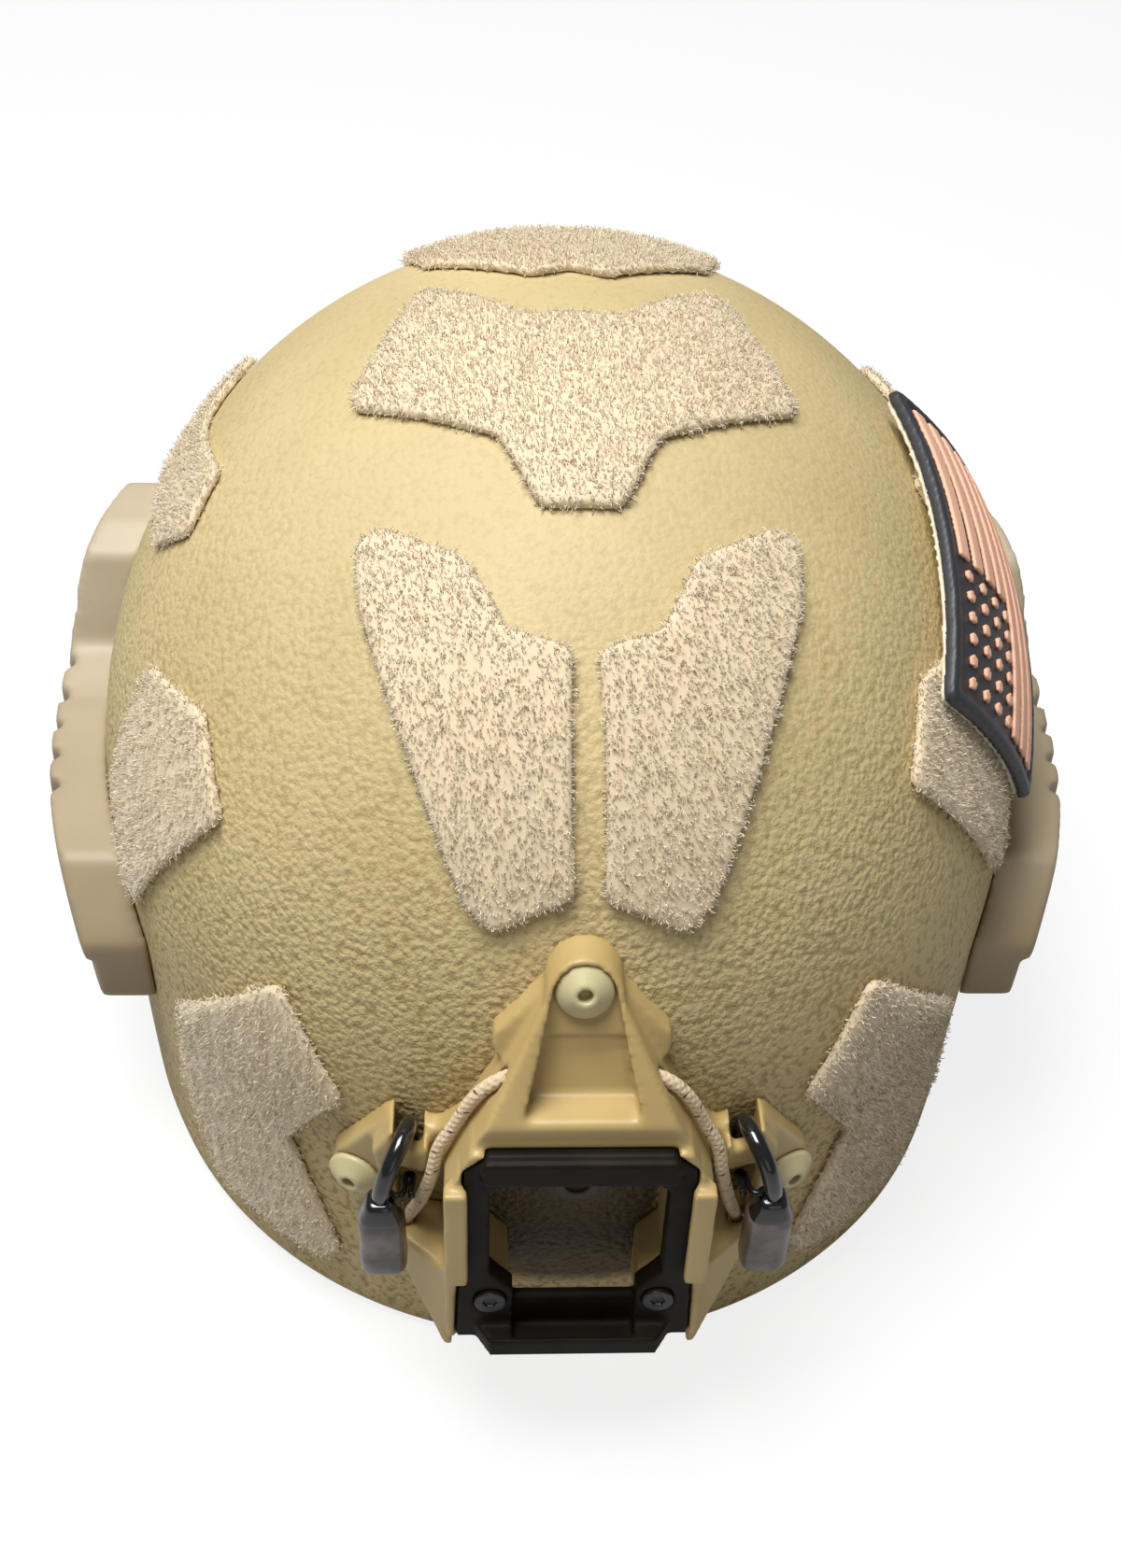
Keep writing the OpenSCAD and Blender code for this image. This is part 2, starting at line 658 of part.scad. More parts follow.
// Retention cords, hooks, gates and ferrules, drawn on the right and mirrored to the left
cord_path = smooth_path(cord_points, 2);
hook_points = [[38.4, -9.9, -5.7], [38.3, -10.1, -1.5], [37.6, -10, 2.2], [36.4, -8.9, 6], [34.7, -6.1, 8.5],
    [33.4, -2.4, 8.9], [hook_x, 1.2, 6.6], [hook_x, 2.6, 2.9], [hook_x, 2.7, -1.2], [hook_x, 2.4, -4.2],
    [hook_x, 2, -6.8]];
gate_points = [[36.1, -9.9, -1.6], [34.7, -9.8, -1.6], [34, -8.6, -2], [33.9, -6.4, -3.2], [33.9, -3.6, -5],
    [33.8, -1.9, -6.1], [33.1, -1.2, -6.4], [32.4, -1.9, -6.1], [32.3, -3.6, -5], [32.3, -7, -2.6],
    [32.3, -9.9, -1.6]];
ferrule_c = [38.4, -9.9, -4.7];

// A flat rectangle about the origin with rounded corners
module slab(size, r) {
    w = size[0] / 2;
    h = size[1] / 2;
    polygon(rounded([[-w, -h], [w, -h], [w, h], [-w, h]], r));
}

module cord_right() {
    color([0.82, 0.74, 0.6]) at_brow() bar(cord_path, cord_r, [0, 1, 0], 10);
}
module cord_left() {
    mirror([1, 0, 0]) cord_right();
}
module hook_right() {
    color([0.05, 0.05, 0.06]) at_brow() {
        bar(smooth_path(hook_points, 2), hook_r, [1, 0.2, 0], 10);
        translate(ferrule_c + [0, 0, -2]) cylinder(r1 = ferrule_d / 2 - 0.2, r2 = hook_r + 1, h = 4);
    }
}
module hook_left() {
    mirror([1, 0, 0]) hook_right();
}
module gate_right() {
    color([0.05, 0.05, 0.06]) at_brow() bar(smooth_path(gate_points, 2), gate_r, [0, -0.5, 1], 8);
}
module gate_left() {
    mirror([1, 0, 0]) gate_right();
}
module ferrule_right() {
    color([0.28, 0.26, 0.26]) at_brow() translate(ferrule_c + [0, 0, -2 - ferrule_h]) difference() {
        linear_extrude(ferrule_h) slab([ferrule_w, ferrule_d], 2.5);
        translate([0, 0, -1]) cylinder(r = cord_r + 0.5, h = 6);
    }
}
module ferrule_left() {
    mirror([1, 0, 0]) ferrule_right();
}

// Loop patches, each drawn flat and laid on the shell
module patch(outline, p, turn, tilt) {
    color([0.9, 0.8, 0.68]) layer(seat, patch_t) facing(p, turn, tilt)
        translate([0, 0, -far / 10]) linear_extrude(far / 5) polygon(rounded(outline, patch_r));
}
crown_half = [[8, -39.5], [11, -33], [16, -21.5], [45, -5], [46.5, 0], [33, 39], [20, 28], [10.5, 18]];
brow_pts = [[32.5, 25], [28.5, 29], [9, 26], [-3, 14], [-16, 13.5], [-27.5, -31], [-13.8, -41], [-8, -37.5],
    [14, -6], [27, 12]];
side_pts = [[-26.5, 14], [-15.5, 22], [-8, 27], [18, 22], [20, -8], [6, -28], [-1, -28], [-13, -8]];
temple_pts = [[-6.5, 54], [26, 24.5], [30, -4], [20, -31], [-14, -33], [-18.5, -26], [-7.5, 8.5],
    [-22.5, 31]];
rear_side_pts = [[-38, 7], [-26, 17.5], [-3, 9], [10, 6], [37, 12.5], [40, -6], [12, -12], [-28, -7]];
rear_half = [[0, 5], [8.5, 9], [20, 0], [33, -12], [40, -40], [14, -44], [0, -38]];

module crown_patch() {
    patch(both_sides(crown_half), [0, -23, half_w - 2], 0, 82.5);
}
module rear_crown_patch() {
    patch(both_sides(rear_half), [0, 25, half_w - 2], 180, 82.5);
}
function turned(q, turn) = [q[0] * cos(turn) - q[1] * sin(turn), q[0] * sin(turn) + q[1] * cos(turn)];
module brow_patch(shift, turn) {
    patch([for (q = brow_pts) shift + turned(q, turn)], [21, -half_l + 42, 81], 20, 50);
}
module side_patch(shift) {
    patch([for (q = side_pts) q + shift], [half_w - 24, -73, 36], 62.5, 20);
}
module temple_patch(shift) {
    patch([for (q = temple_pts) q + shift], [65, -half_l + 23, -28], 37.5, 0);
}
module rear_side_patch() {
    patch(rear_side_pts, [half_w - 25, 7, 70], 92.5, 40);
}
module brow_patch_right() {
    brow_patch([0.7, 0], 2);
}
module brow_patch_left() {
    mirror([1, 0, 0]) brow_patch([0, 0], 0);
}
module side_patch_right() {
    side_patch([0.3, 9]);
}
module side_patch_left() {
    mirror([1, 0, 0]) side_patch([0, 0]);
}
module temple_patch_right() {
    temple_patch([0, 1]);
}
module temple_patch_left() {
    mirror([1, 0, 0]) temple_patch([0, 0]);
}
module rear_side_patch_right() {
    rear_side_patch();
}
module rear_side_patch_left() {
    mirror([1, 0, 0]) rear_side_patch();
}

// Flag patch: hook backing, rubber panel with a raised rim, and raised figures
flag_p = [half_w - 24, -30, 60];
flag_turn = 77.5;
flag_tilt = 33.6;
flag_roll = 22;
flag_low = patch_t + clear;
flag_mid = flag_low + flag_back_t;
flag_top = flag_mid + flag_t;
rim_w = 2.4;
canton_l = 34;
flag_reach = 18;
module on_flag() {
    facing(flag_p, flag_turn, flag_tilt) rotate(flag_roll) translate([0, 0, -flag_reach])
        linear_extrude(2 * flag_reach) children();
}
module flag_rect(inset, r) {
    slab([flag_l - 2 * inset, flag_h - 2 * inset], r);
}
module flag_backing() {
    color([0.85, 0.8, 0.72]) layer(flag_low, flag_mid) on_flag() flag_rect(1, 2);
}
module flag_panel() {
    color([0.12, 0.12, 0.13]) {
        layer(flag_mid, flag_top - rim_h) on_flag() flag_rect(0, 2);
        layer(flag_mid + 0.4, flag_top) on_flag() difference() {
            flag_rect(0, 2);
            flag_rect(rim_w, 1.5);
        }
    }
}
stripe_pitch = (flag_h - 2 * rim_w - 2) / stripe_count;
dot_pitch = [5.2, 6.2];
dot_r = 1.6;
rim_h = 0.8;
module flag_relief() {
    color([0.88, 0.62, 0.5]) layer(flag_top - rim_h, flag_top - rim_h + relief_t) on_flag() {
        for (i = [0:stripe_count - 1])
            let (z = flag_h / 2 - rim_w - 1 - (i + 0.82) * stripe_pitch)
            let (x0 = i < stripe_count / 2 ? -flag_l / 2 + rim_w + canton_l : -flag_l / 2 + rim_w + 2)
            translate([x0, z]) square([flag_l / 2 - rim_w - 2 - x0, stripe_pitch * 0.66]);
        for (i = [0:5], j = [0:3])
            translate([-flag_l / 2 + rim_w + 4 + i * dot_pitch[0], flag_h / 2 - rim_w - 5 - j * dot_pitch[1]])
                circle(dot_r, $fn = 5);
    }
}

// Foam pads and the hook discs that hold them
pad_out = -shell_t - disc_t - seat;
pad_in = -shell_t - disc_t - pad_t;
front_pad_p = [0, -half_l + 8, 0];
front_pad_half = screw_x - nut_r - 6;
rear_pad_p = [0, half_l - 8, 26];
side_pad_y = 34;
module pad_layer(low, high) {
    difference() {
        intersection() {
            form(high);
            children();
        }
        form(low, 1);
    }
}
module prism() {
    translate([0, 0, -far / 8]) linear_extrude(far / 4) children();
}
module crown_pad() {
    color([0.2, 0.2, 0.18]) pad_layer(pad_in, pad_out) facing([0, 6, half_w - 20], 0, 90)
        prism() circle(crown_pad_r);
}
module front_pad() {
    color([0.2, 0.2, 0.18]) pad_layer(pad_in, pad_out) facing(front_pad_p, 0, 0)
        prism() polygon(rounded([[-front_pad_half, -34], [front_pad_half, -34],
            [front_pad_half - 3, 28], [3 - front_pad_half, 28]], 9, 4));
}
module rear_pad() {
    color([0.2, 0.2, 0.18]) pad_layer(pad_in, pad_out) facing(rear_pad_p, 180, 12)
        prism() polygon(rounded([[-40, -26], [40, -26], [32, 26], [-32, 26]], 9, 4));
}
side_pad_z = 28;
side_pad_w = 50;
side_pad_h = 48;
module at_side_pad(y) {
    facing([half_w - 8, y, side_pad_z], 90 + y * 0.35, 16) prism() children();
}
module side_pad(y) {
    at_side_pad(y) slab([side_pad_w, side_pad_h], 9);
}
module side_pads_right() {
    color([0.2, 0.2, 0.18]) for (y = [-side_pad_y, side_pad_y]) pad_layer(pad_in, pad_out) side_pad(y);
}
module side_pads_left() {
    mirror([1, 0, 0]) side_pads_right();
}
module hook_discs() {
    color([0.1, 0.1, 0.1]) {
        pad_layer(-shell_t - disc_t, -shell_t - seat / 2) {
            facing([0, 6, half_w - 20], 0, 90) prism() circle(disc_r);
        }
        pad_layer(-shell_t - disc_t, -shell_t - seat / 2) facing(front_pad_p, 0, 0) prism() circle(disc_r);
        pad_layer(-shell_t - disc_t, -shell_t - seat / 2) facing(rear_pad_p, 180, 12) prism() circle(disc_r);
        mirrored() for (y = [-side_pad_y, side_pad_y])
            pad_layer(-shell_t - disc_t, -shell_t - seat / 2) at_side_pad(y) circle(disc_r);
    }
}

// Dial fit system at the nape: y = 0 on the shell's outer wall, z = 0 at the knob's centre
house_in = -36;
house_out = -26;
house_w = 25;
shaft_r = 3;
shaft_clear = 0.05;
shaft_end = -33.2;
house_h = 17;
rack_y = (house_in + house_out) / 2;
rack_d = 5;
rack_len = 40;
arm_off = -22;
arm_end = 64;
tooth_pitch = 2 * PI * pinion_r / pinion_teeth;
tooth_h = 0.8;
module dial_housing() {
    color([0.14, 0.14, 0.13]) at_nape() difference() {
        union() {
            translate([-house_w, house_in, -house_h]) cube([2 * house_w, house_out - house_in, 2 * house_h]);
            intersection() {
                translate([-9, house_in, house_h - 1]) cube([18, -house_in, 12]);
                translate([0, -shell_y - half_l, -dial_z]) form(-shell_t - seat, 1);
            }
        }
        for (s = [-1, 1]) translate([-far / 4, rack_y - rack_d / 2 - clear, s > 0 ? pinion_r - tooth_h - 0.4 :
            -pinion_r - arm_h - 0.4]) cube([far / 2, rack_d + 2 * clear, arm_h + tooth_h + 0.8]);
        translate([0, rack_y + rack_d / 2 + clear, 0]) rotate([90, 0, 0])
            cylinder(r = pinion_r + 1.6, h = rack_d + 2 * clear);
        translate([0, 1, 0]) rotate([90, 0, 0])
            cylinder(r = shaft_r + shaft_clear, h = 1 - shaft_end + clear);
        translate([0, 1, nape_screw_z]) rotate([90, 0, 0]) cylinder(r = bore_r + 0.3, h = 20);
    }
}

// One tooth flank of an involute on base radius rb, out to radius r
function roll_at(rb, r) = sqrt(max(0, pow(r / rb, 2) - 1)) * 180 / PI;
function involute_turn(rb, r) = roll_at(rb, r) - atan(roll_at(rb, r) * PI / 180);
function pinion_tooth(k) =
    let (rb = pinion_r * cos(20), half = 90 / pinion_teeth * 0.88 + involute_turn(rb, pinion_r))
    let (rs = [for (i = [0:4]) rb + (pinion_r + tooth_h - rb) * i / 4], mid = k * 360 / pinion_teeth)
    concat([(pinion_r - tooth_h - 0.5) * [cos(mid - half), sin(mid - half)]],
        [for (r = rs) r * [cos(mid - half + involute_turn(rb, r)), sin(mid - half + involute_turn(rb, r))]],
        [for (i = [4:-1:0]) rs[i] * [cos(mid + half - involute_turn(rb, rs[i])),
            sin(mid + half - involute_turn(rb, rs[i]))]],
        [(pinion_r - tooth_h - 0.5) * [cos(mid + half), sin(mid + half)]]);

module dial_knob() {
    color([0.08, 0.08, 0.08]) at_nape() rotate([90, 0, 0]) {
        translate([0, 0, -house_out - clear - knob_t]) difference() {
            cylinder(r = knob_r, h = knob_t);
            for (i = [0:knob_flutes - 1]) rotate(i * 360 / knob_flutes)
                translate([knob_r + 0.9, 0, -1]) cylinder(r = 1.8, h = knob_t + 2);
            translate([0, 0, -1]) cylinder(r = knob_r - 5, h = 2);
        }
        translate([0, 0, -house_out - clear - 0.5])
            cylinder(r = shaft_r, h = house_out + clear + 0.5 - shaft_end);
        translate([0, 0, -rack_y - rack_d / 2]) linear_extrude(rack_d)
            polygon([for (k = [0:pinion_teeth - 1]) each pinion_tooth(k)]);
    }
}

// A fit arm: a toothed bar in the housing that turns into a thin curved band along the head
module fit_arm(up) {
    n = ceil(rack_len / tooth_pitch);
    root = pinion_r + tooth_h + 0.35;
    gap_top = tooth_pitch * 0.5 + 0.25 + 2 * (tooth_h + 0.15) * tan(20);
    gap_low = tooth_pitch * 0.5 + 0.25 - 2 * 0.35 * tan(20);
    color([0.12, 0.12, 0.12]) {
        at_nape() translate([0, rack_y + rack_d / 2, 0]) rotate([90, 0, 0]) linear_extrude(rack_d)
            difference() {
                translate([-rack_len, up > 0 ? pinion_r - tooth_h : -pinion_r - arm_h])
                    square([rack_len + 14, arm_h + tooth_h]);
                for (i = [-n:5]) translate([i * tooth_pitch, up * pinion_r]) scale([1, up])
                    polygon([[-gap_low / 2 - 0.35, -tooth_h - 0.1], [gap_low / 2 + 0.35, -tooth_h - 0.1],
                        [tooth_pitch / 4 - 0.1, tooth_h + 0.35], [-tooth_pitch / 4 + 0.1, tooth_h + 0.35]]);
            }
        at_nape() intersection() {
            translate([-rack_len - 4, house_in - 2, up > 0 ? -arm_h / 2 : -pinion_r - arm_h])
                cube([6, -house_in, pinion_r + arm_h * 1.5]);
            translate([0, -shell_y - half_l, -dial_z]) difference() {
                form(arm_off + 4, 1);
                form(arm_off - arm_t / 2, 2);
            }
        }
        intersection() {
            difference() {
                form(arm_off + arm_t / 2, 1);
                form(arm_off - arm_t / 2, 2);
            }
            translate([-far / 2 - rack_len, shell_y + arm_end, dial_z - arm_h / 2])
                cube([far / 2, far / 2, arm_h]);
        }
    }
}
module fit_arm_left() {
    fit_arm(1);
}
module fit_arm_right() {
    mirror([1, 0, 0]) fit_arm(-1);
}
module nape_pad() {
    color([0.2, 0.2, 0.18]) at_nape() translate([0, house_in - seat, 0]) rotate([90, 0, 0])
        linear_extrude(8) polygon(rounded([[-30, -19], [30, -19], [26, 19], [-26, 19]], 8, 4));
}
module nape_screw() {
    color([0.74, 0.69, 0.52]) at_nape_bolt() bolt(rail_bolt_r, nape_head_h, seat);
}

// Chinstrap, let down inside the bowl
anchor_off = -shell_t - wall_sag - web_t;
anchor_turn = asin(rail_screw_y / side_r);
anchor_x = side_point(rail_screw_y, 0)[0] + (anchor_off + web_t / 2) * cos(anchor_turn);
anchor_y = rail_screw_y + (anchor_off + web_t / 2) * sin(anchor_turn);
anchor_z = axis_h - rail_screw_drop;
strap_y = -44;
adjust_x = 74;
strap_step = 11;
mouth_x = -cup_l / 2 - 8;
male_end = mouth_x + 7.4;
strap_end = adjust_x + 2.5;
floor_z = 0.2 + web_t / 2;
adjust_in = adjust_x - 11;
web_z = floor_z + 0.4;
module strap_tab(y) {
    facing(side_point(y, -rail_screw_drop), side_turn(y), 0) translate([0, 0, anchor_off]) difference() {
        linear_extrude(web_t) polygon(rounded([[-web_w / 2, -9], [web_w / 2, -9], [web_w / 2, 10],
            [-web_w / 2, 10]], 5, 3));
        translate([0, 0, -1]) cylinder(r = sleeve_r + 0.3, h = web_t + 2);
    }
}
front_run = [[anchor_x, -anchor_y, anchor_z - 8], [anchor_x - 0.8, -anchor_y, anchor_z - 18],
    [anchor_x - 1.8, -55, 28], [anchor_x - 2.8, -55, 14], [anchor_x - 5.5, strap_y - strap_step, 4.5],
    [anchor_x - 8.5, strap_y - strap_step, 1.6], [strap_end, strap_y - strap_step, floor_z]];
rear_run = [[anchor_x, anchor_y, anchor_z - 8], [anchor_x - 0.8, anchor_y, anchor_z - 18],
    [anchor_x - 1, 50, 34], [anchor_x - 0.5, 37, 24], [anchor_x - 1, 19, 13.5], [anchor_x - 2, 0, 7],
    [anchor_x - 4.5, -16, 3.4], [anchor_x - 8.5, -27, 1.8], [strap_end + 4, strap_y + strap_step + 0.6, 1.2],
    [strap_end, strap_y + strap_step, floor_z]];
module on_floor() {
    translate([0, shell_y, 0]) children();
}
module front_strap_right() {
    color([0.66, 0.58, 0.42]) {
        strap_tab(-rail_screw_y);
        on_floor() ribbon(smooth_path(front_run, 3), web_w - 0.5, web_t,
            [cos(anchor_turn), -sin(anchor_turn), 0], [0, 0, -1]);
    }
}
module rear_strap_right() {
    color([0.66, 0.58, 0.42]) {
        strap_tab(rail_screw_y);
        on_floor() ribbon(smooth_path(rear_run, 3), web_w - 0.5, web_t,
            [cos(anchor_turn), sin(anchor_turn), 0], [0, 0, -1]);
    }
}
module front_strap_left() {
    mirror([1, 0, 0]) front_strap_right();
}
module rear_strap_left() {
    mirror([1, 0, 0]) rear_strap_right();
}
adjust_w = 44;
adjust_t = 3;
adjust_out = 7;
module strap_adjusters() {
    color([0.1, 0.1, 0.1]) on_floor() mirrored() translate([adjust_x - 5, strap_y, 0.2]) difference() {
        linear_extrude(adjust_t) polygon(rounded([[-6, -13], [6, -adjust_w / 2], [adjust_out, -adjust_w / 2],
            [adjust_out, adjust_w / 2], [6, adjust_w / 2], [-6, 13]], 1.5, 3));
        translate([-3.5, -web_w / 2, -1]) cube([2, web_w, 5]);
    }
}
cup_grip = cup_l / 2 - 4;
module web_run(x0, x1) {
    translate([x0, strap_y - web_w / 2, web_z]) cube([x1 - x0, web_w, web_t]);
}
module chin_straps() {
    color([0.66, 0.58, 0.42]) on_floor() {
        web_run(cup_grip, adjust_in - seat);
        web_run(male_end + seat, -cup_grip);
        web_run(-adjust_in + seat, mouth_x - buckle_l - seat);
    }
}
module chin_cup() {
    ball = (pow(cup_l / 2, 2) + pow(cup_h, 2)) / (2 * cup_h);
    color([0.15, 0.15, 0.14]) on_floor() translate([0, strap_y, 0.2]) difference() {
        intersection() {
            translate([0, 0, cup_h - ball]) sphere(ball, $fn = 96);
            translate([0, 0, 0]) linear_extrude(cup_h + 1) polygon(rounded([[-cup_l / 2 + 1, -cup_w / 2],
                [cup_l / 2 - 1, -cup_w / 2], [cup_l / 2 - 1, cup_w / 2], [-cup_l / 2 + 1, cup_w / 2]], 9, 4));
        }
        translate([0, 0, cup_h - ball]) sphere(ball - cup_t, $fn = 96);
        translate([-far / 4, -web_w / 2 - 0.4, 0.4]) cube([far / 2, web_w + 0.8, web_t + 0.8]);
    }
}

// Side-release buckle between the cup and the left adjuster: x = 0 at the female half's mouth
module at_buckle() {
    on_floor() translate([mouth_x, strap_y, 0.2 + buckle_t / 2]) children();
}
prong_root = [-1.5, 7.5];
prong_pin_r = 1.6;
window_x = [-17.5, -9.5];
module buckle_female() {
    color([0.1, 0.1, 0.1]) at_buckle() difference() {
        translate([-buckle_l, -buckle_w / 2, -buckle_t / 2]) cube([buckle_l, buckle_w, buckle_t]);
        translate([-buckle_l + 5, -buckle_w / 2 + 2, -2.6]) cube([buckle_l, buckle_w - 4, 5.2]);
        for (s = [-1, 1]) translate([window_x[0], s * buckle_w / 2 - 3, -2.6])
            cube([window_x[1] - window_x[0], 6, 5.2]);
        translate([-buckle_l + 1.5, -web_w / 2, -far / 8]) cube([2, web_w, far / 4]);
    }
}
module buckle_male() {
    color([0.1, 0.1, 0.1]) at_buckle() difference() {
        union() {
            translate([0.4, -12, -buckle_t / 2 + 0.5]) cube([7, 24, buckle_t - 1]);
            translate([-16, -2.6, -2.2]) cube([17, 5.2, 4.4]);
            translate([-3.6, -9.6, -2.2]) cube([4.5, 19.2, 4.4]);
        }
        for (s = [-1, 1]) translate([prong_root[0], s * prong_root[1], -5])
            cylinder(r = prong_pin_r + 0.06, h = 10);
        for (s = [-1, 1]) translate([-10, s * prong_root[1] - 1.3, -5]) cube([8.5, 2.6, 10]);
        translate([3.2, -web_w / 2, -far / 8]) cube([2, web_w, far / 4]);
    }
}
module prong(s) {
    tip = window_x[0] + 0.5;
    at_buckle() scale([1, s, 1]) translate([0, 0, -2.1]) {
        translate([prong_root[0], prong_root[1], 0]) cylinder(r = prong_pin_r, h = 4.2);
        linear_extrude(4.2) polygon([[prong_root[0], prong_root[1] - 0.9],
            [prong_root[0], prong_root[1] + 0.9], [window_x[1] - clear, 9.4], [window_x[1] - 2 * clear, 12.9],
            [-13, 13.2], [tip, 9.5], [tip, 8], [-9, 7.4]]);
    }
}
module prong_rear() {
    color([0.12, 0.12, 0.12]) prong(1);
}
module prong_front() {
    color([0.12, 0.12, 0.12]) prong(-1);
}

shell();
rail_left();
rail_right();
rail_screws();
rail_nuts();
shroud_body();
shroud_insert();
insert_screws();
shroud_screws();
shroud_nuts();
stop_block();
cord_left();
cord_right();
hook_left();
hook_right();
gate_left();
gate_right();
ferrule_left();
ferrule_right();
crown_patch();
brow_patch_left();
brow_patch_right();
side_patch_left();
side_patch_right();
temple_patch_left();
temple_patch_right();
rear_side_patch_left();
rear_side_patch_right();
rear_crown_patch();
flag_backing();
flag_panel();
flag_relief();
crown_pad();
front_pad();
rear_pad();
side_pads_left();
side_pads_right();
hook_discs();
dial_housing();
dial_knob();
fit_arm_left();
fit_arm_right();
nape_pad();
nape_screw();
front_strap_left();
front_strap_right();
rear_strap_left();
rear_strap_right();
strap_adjusters();
chin_straps();
chin_cup();
buckle_female();
buckle_male();
prong_front();
prong_rear();
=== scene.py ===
import json
import math

import bmesh
import bpy
import numpy as np
from mathutils import Matrix, Vector

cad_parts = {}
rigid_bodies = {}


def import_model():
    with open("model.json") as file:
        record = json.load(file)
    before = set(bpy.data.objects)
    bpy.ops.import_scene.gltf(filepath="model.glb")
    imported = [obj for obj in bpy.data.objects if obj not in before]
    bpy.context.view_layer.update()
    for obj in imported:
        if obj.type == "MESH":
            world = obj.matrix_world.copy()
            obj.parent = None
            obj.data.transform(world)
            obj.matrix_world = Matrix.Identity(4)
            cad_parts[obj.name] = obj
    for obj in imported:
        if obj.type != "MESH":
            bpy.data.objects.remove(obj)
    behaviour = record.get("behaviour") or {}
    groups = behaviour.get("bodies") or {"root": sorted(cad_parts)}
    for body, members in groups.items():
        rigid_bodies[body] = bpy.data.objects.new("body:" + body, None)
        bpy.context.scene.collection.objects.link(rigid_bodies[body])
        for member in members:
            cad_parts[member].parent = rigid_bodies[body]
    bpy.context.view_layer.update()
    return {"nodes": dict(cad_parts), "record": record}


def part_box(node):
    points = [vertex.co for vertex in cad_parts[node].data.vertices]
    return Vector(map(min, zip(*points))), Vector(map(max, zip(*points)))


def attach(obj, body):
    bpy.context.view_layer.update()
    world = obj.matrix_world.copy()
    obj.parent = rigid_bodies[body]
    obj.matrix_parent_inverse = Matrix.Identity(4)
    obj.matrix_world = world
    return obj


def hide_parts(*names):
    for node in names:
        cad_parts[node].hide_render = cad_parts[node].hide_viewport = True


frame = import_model()

# Viewpoint
# The helmet was photographed by hand from above the brow, a little to one side, at arm's length.
# The lens below, over a long side of 36 mm, gives the photograph's frame of 1200 by 1679.
view_target = Vector((0.0020, 0.0095, 0.0505))
view_yaw, view_rise, view_roll = -0.0618, 0.7325, 0.0451
view_distance = 0.4435
lens_mm = 37.62

view_back = Vector((math.sin(view_yaw) * math.cos(view_rise),
                    -math.cos(view_yaw) * math.cos(view_rise), math.sin(view_rise)))
view_right = Vector((math.cos(view_yaw), math.sin(view_yaw), 0.0))
view_up = view_back.cross(view_right)
rolled_right = view_right * math.cos(view_roll) + view_up * math.sin(view_roll)
rolled_up = view_up * math.cos(view_roll) - view_right * math.sin(view_roll)
camera = bpy.data.objects.new("camera", bpy.data.cameras.new("camera"))
bpy.context.scene.collection.objects.link(camera)
camera.data.lens = lens_mm
camera.data.sensor_width = 36.0
camera.data.clip_start = 0.01
camera.location = view_target + view_back * view_distance
camera.rotation_mode = "QUATERNION"
camera.rotation_quaternion = Matrix((rolled_right, rolled_up, view_back)).transposed().to_quaternion()
bpy.context.scene.camera = camera
bpy.context.scene.view_settings.view_transform = "Standard"

# Studio
# A pale floor and an even pale surround that look white, with one broad lamp over the crown.
# The lamp hangs a little to the left, so the dome is bright on top and darkens down to the brow.
floor_half = 4.0
floor_drop = 0.0006
shadow_kept = 0.34
floor_glow = 1.25
surround_light = 0.165
floor_grey, floor_roughness = 0.5, 0.9

floor_data = bpy.data.meshes.new("floor")
floor_data.from_pydata([(-floor_half, -floor_half, -floor_drop), (floor_half, -floor_half, -floor_drop),
                        (floor_half, floor_half, -floor_drop), (-floor_half, floor_half, -floor_drop)],
                       [], [(0, 1, 2, 3)])
floor = bpy.data.objects.new("floor", floor_data)
bpy.context.scene.collection.objects.link(floor)

floor_material = bpy.data.materials.new("floor")
floor_material.use_nodes = True
nodes, links = floor_material.node_tree.nodes, floor_material.node_tree.links
nodes["Principled BSDF"].inputs["Base Color"].default_value = (floor_grey, floor_grey, floor_grey, 1)
nodes["Principled BSDF"].inputs["Roughness"].default_value = floor_roughness
white = nodes.new("ShaderNodeEmission")
white.inputs["Strength"].default_value = floor_glow
path = nodes.new("ShaderNodeLightPath")
share = nodes.new("ShaderNodeMath")
share.operation = "MULTIPLY"
share.inputs[1].default_value = 1 - shadow_kept
mix = nodes.new("ShaderNodeMixShader")
links.new(path.outputs["Is Camera Ray"], share.inputs[0])
links.new(share.outputs[0], mix.inputs[0])
links.new(nodes["Principled BSDF"].outputs[0], mix.inputs[1])
links.new(white.outputs[0], mix.inputs[2])
links.new(mix.outputs[0], nodes["Material Output"].inputs["Surface"])
floor_data.materials.append(floor_material)

world = bpy.data.worlds.new("surround")
bpy.context.scene.world = world
world.use_nodes = True
nodes, links = world.node_tree.nodes, world.node_tree.links
path = nodes.new("ShaderNodeLightPath")
seen = nodes.new("ShaderNodeMath")
seen.operation = "MAXIMUM"
level = nodes.new("ShaderNodeMapRange")
level.inputs["To Min"].default_value = surround_light
level.inputs["To Max"].default_value = 1.0
links.new(path.outputs["Is Camera Ray"], seen.inputs[0])
links.new(path.outputs["Is Transmission Ray"], seen.inputs[1])
links.new(seen.outputs[0], level.inputs["Value"])
links.new(level.outputs["Result"], nodes["Background"].inputs["Strength"])
nodes["Background"].inputs["Color"].default_value = (1, 1, 1, 1)


def lamp(name, place, aim, width, watts):
    """A soft square lamp at a place, facing a point."""
    data = bpy.data.lights.new(name, "AREA")
    data.size = width
    data.energy = watts
    piece = bpy.data.objects.new(name, data)
    bpy.context.scene.collection.objects.link(piece)
    piece.location = place
    piece.rotation_mode = "QUATERNION"
    piece.rotation_quaternion = (Vector(aim) - Vector(place)).to_track_quat("-Z", "Y")


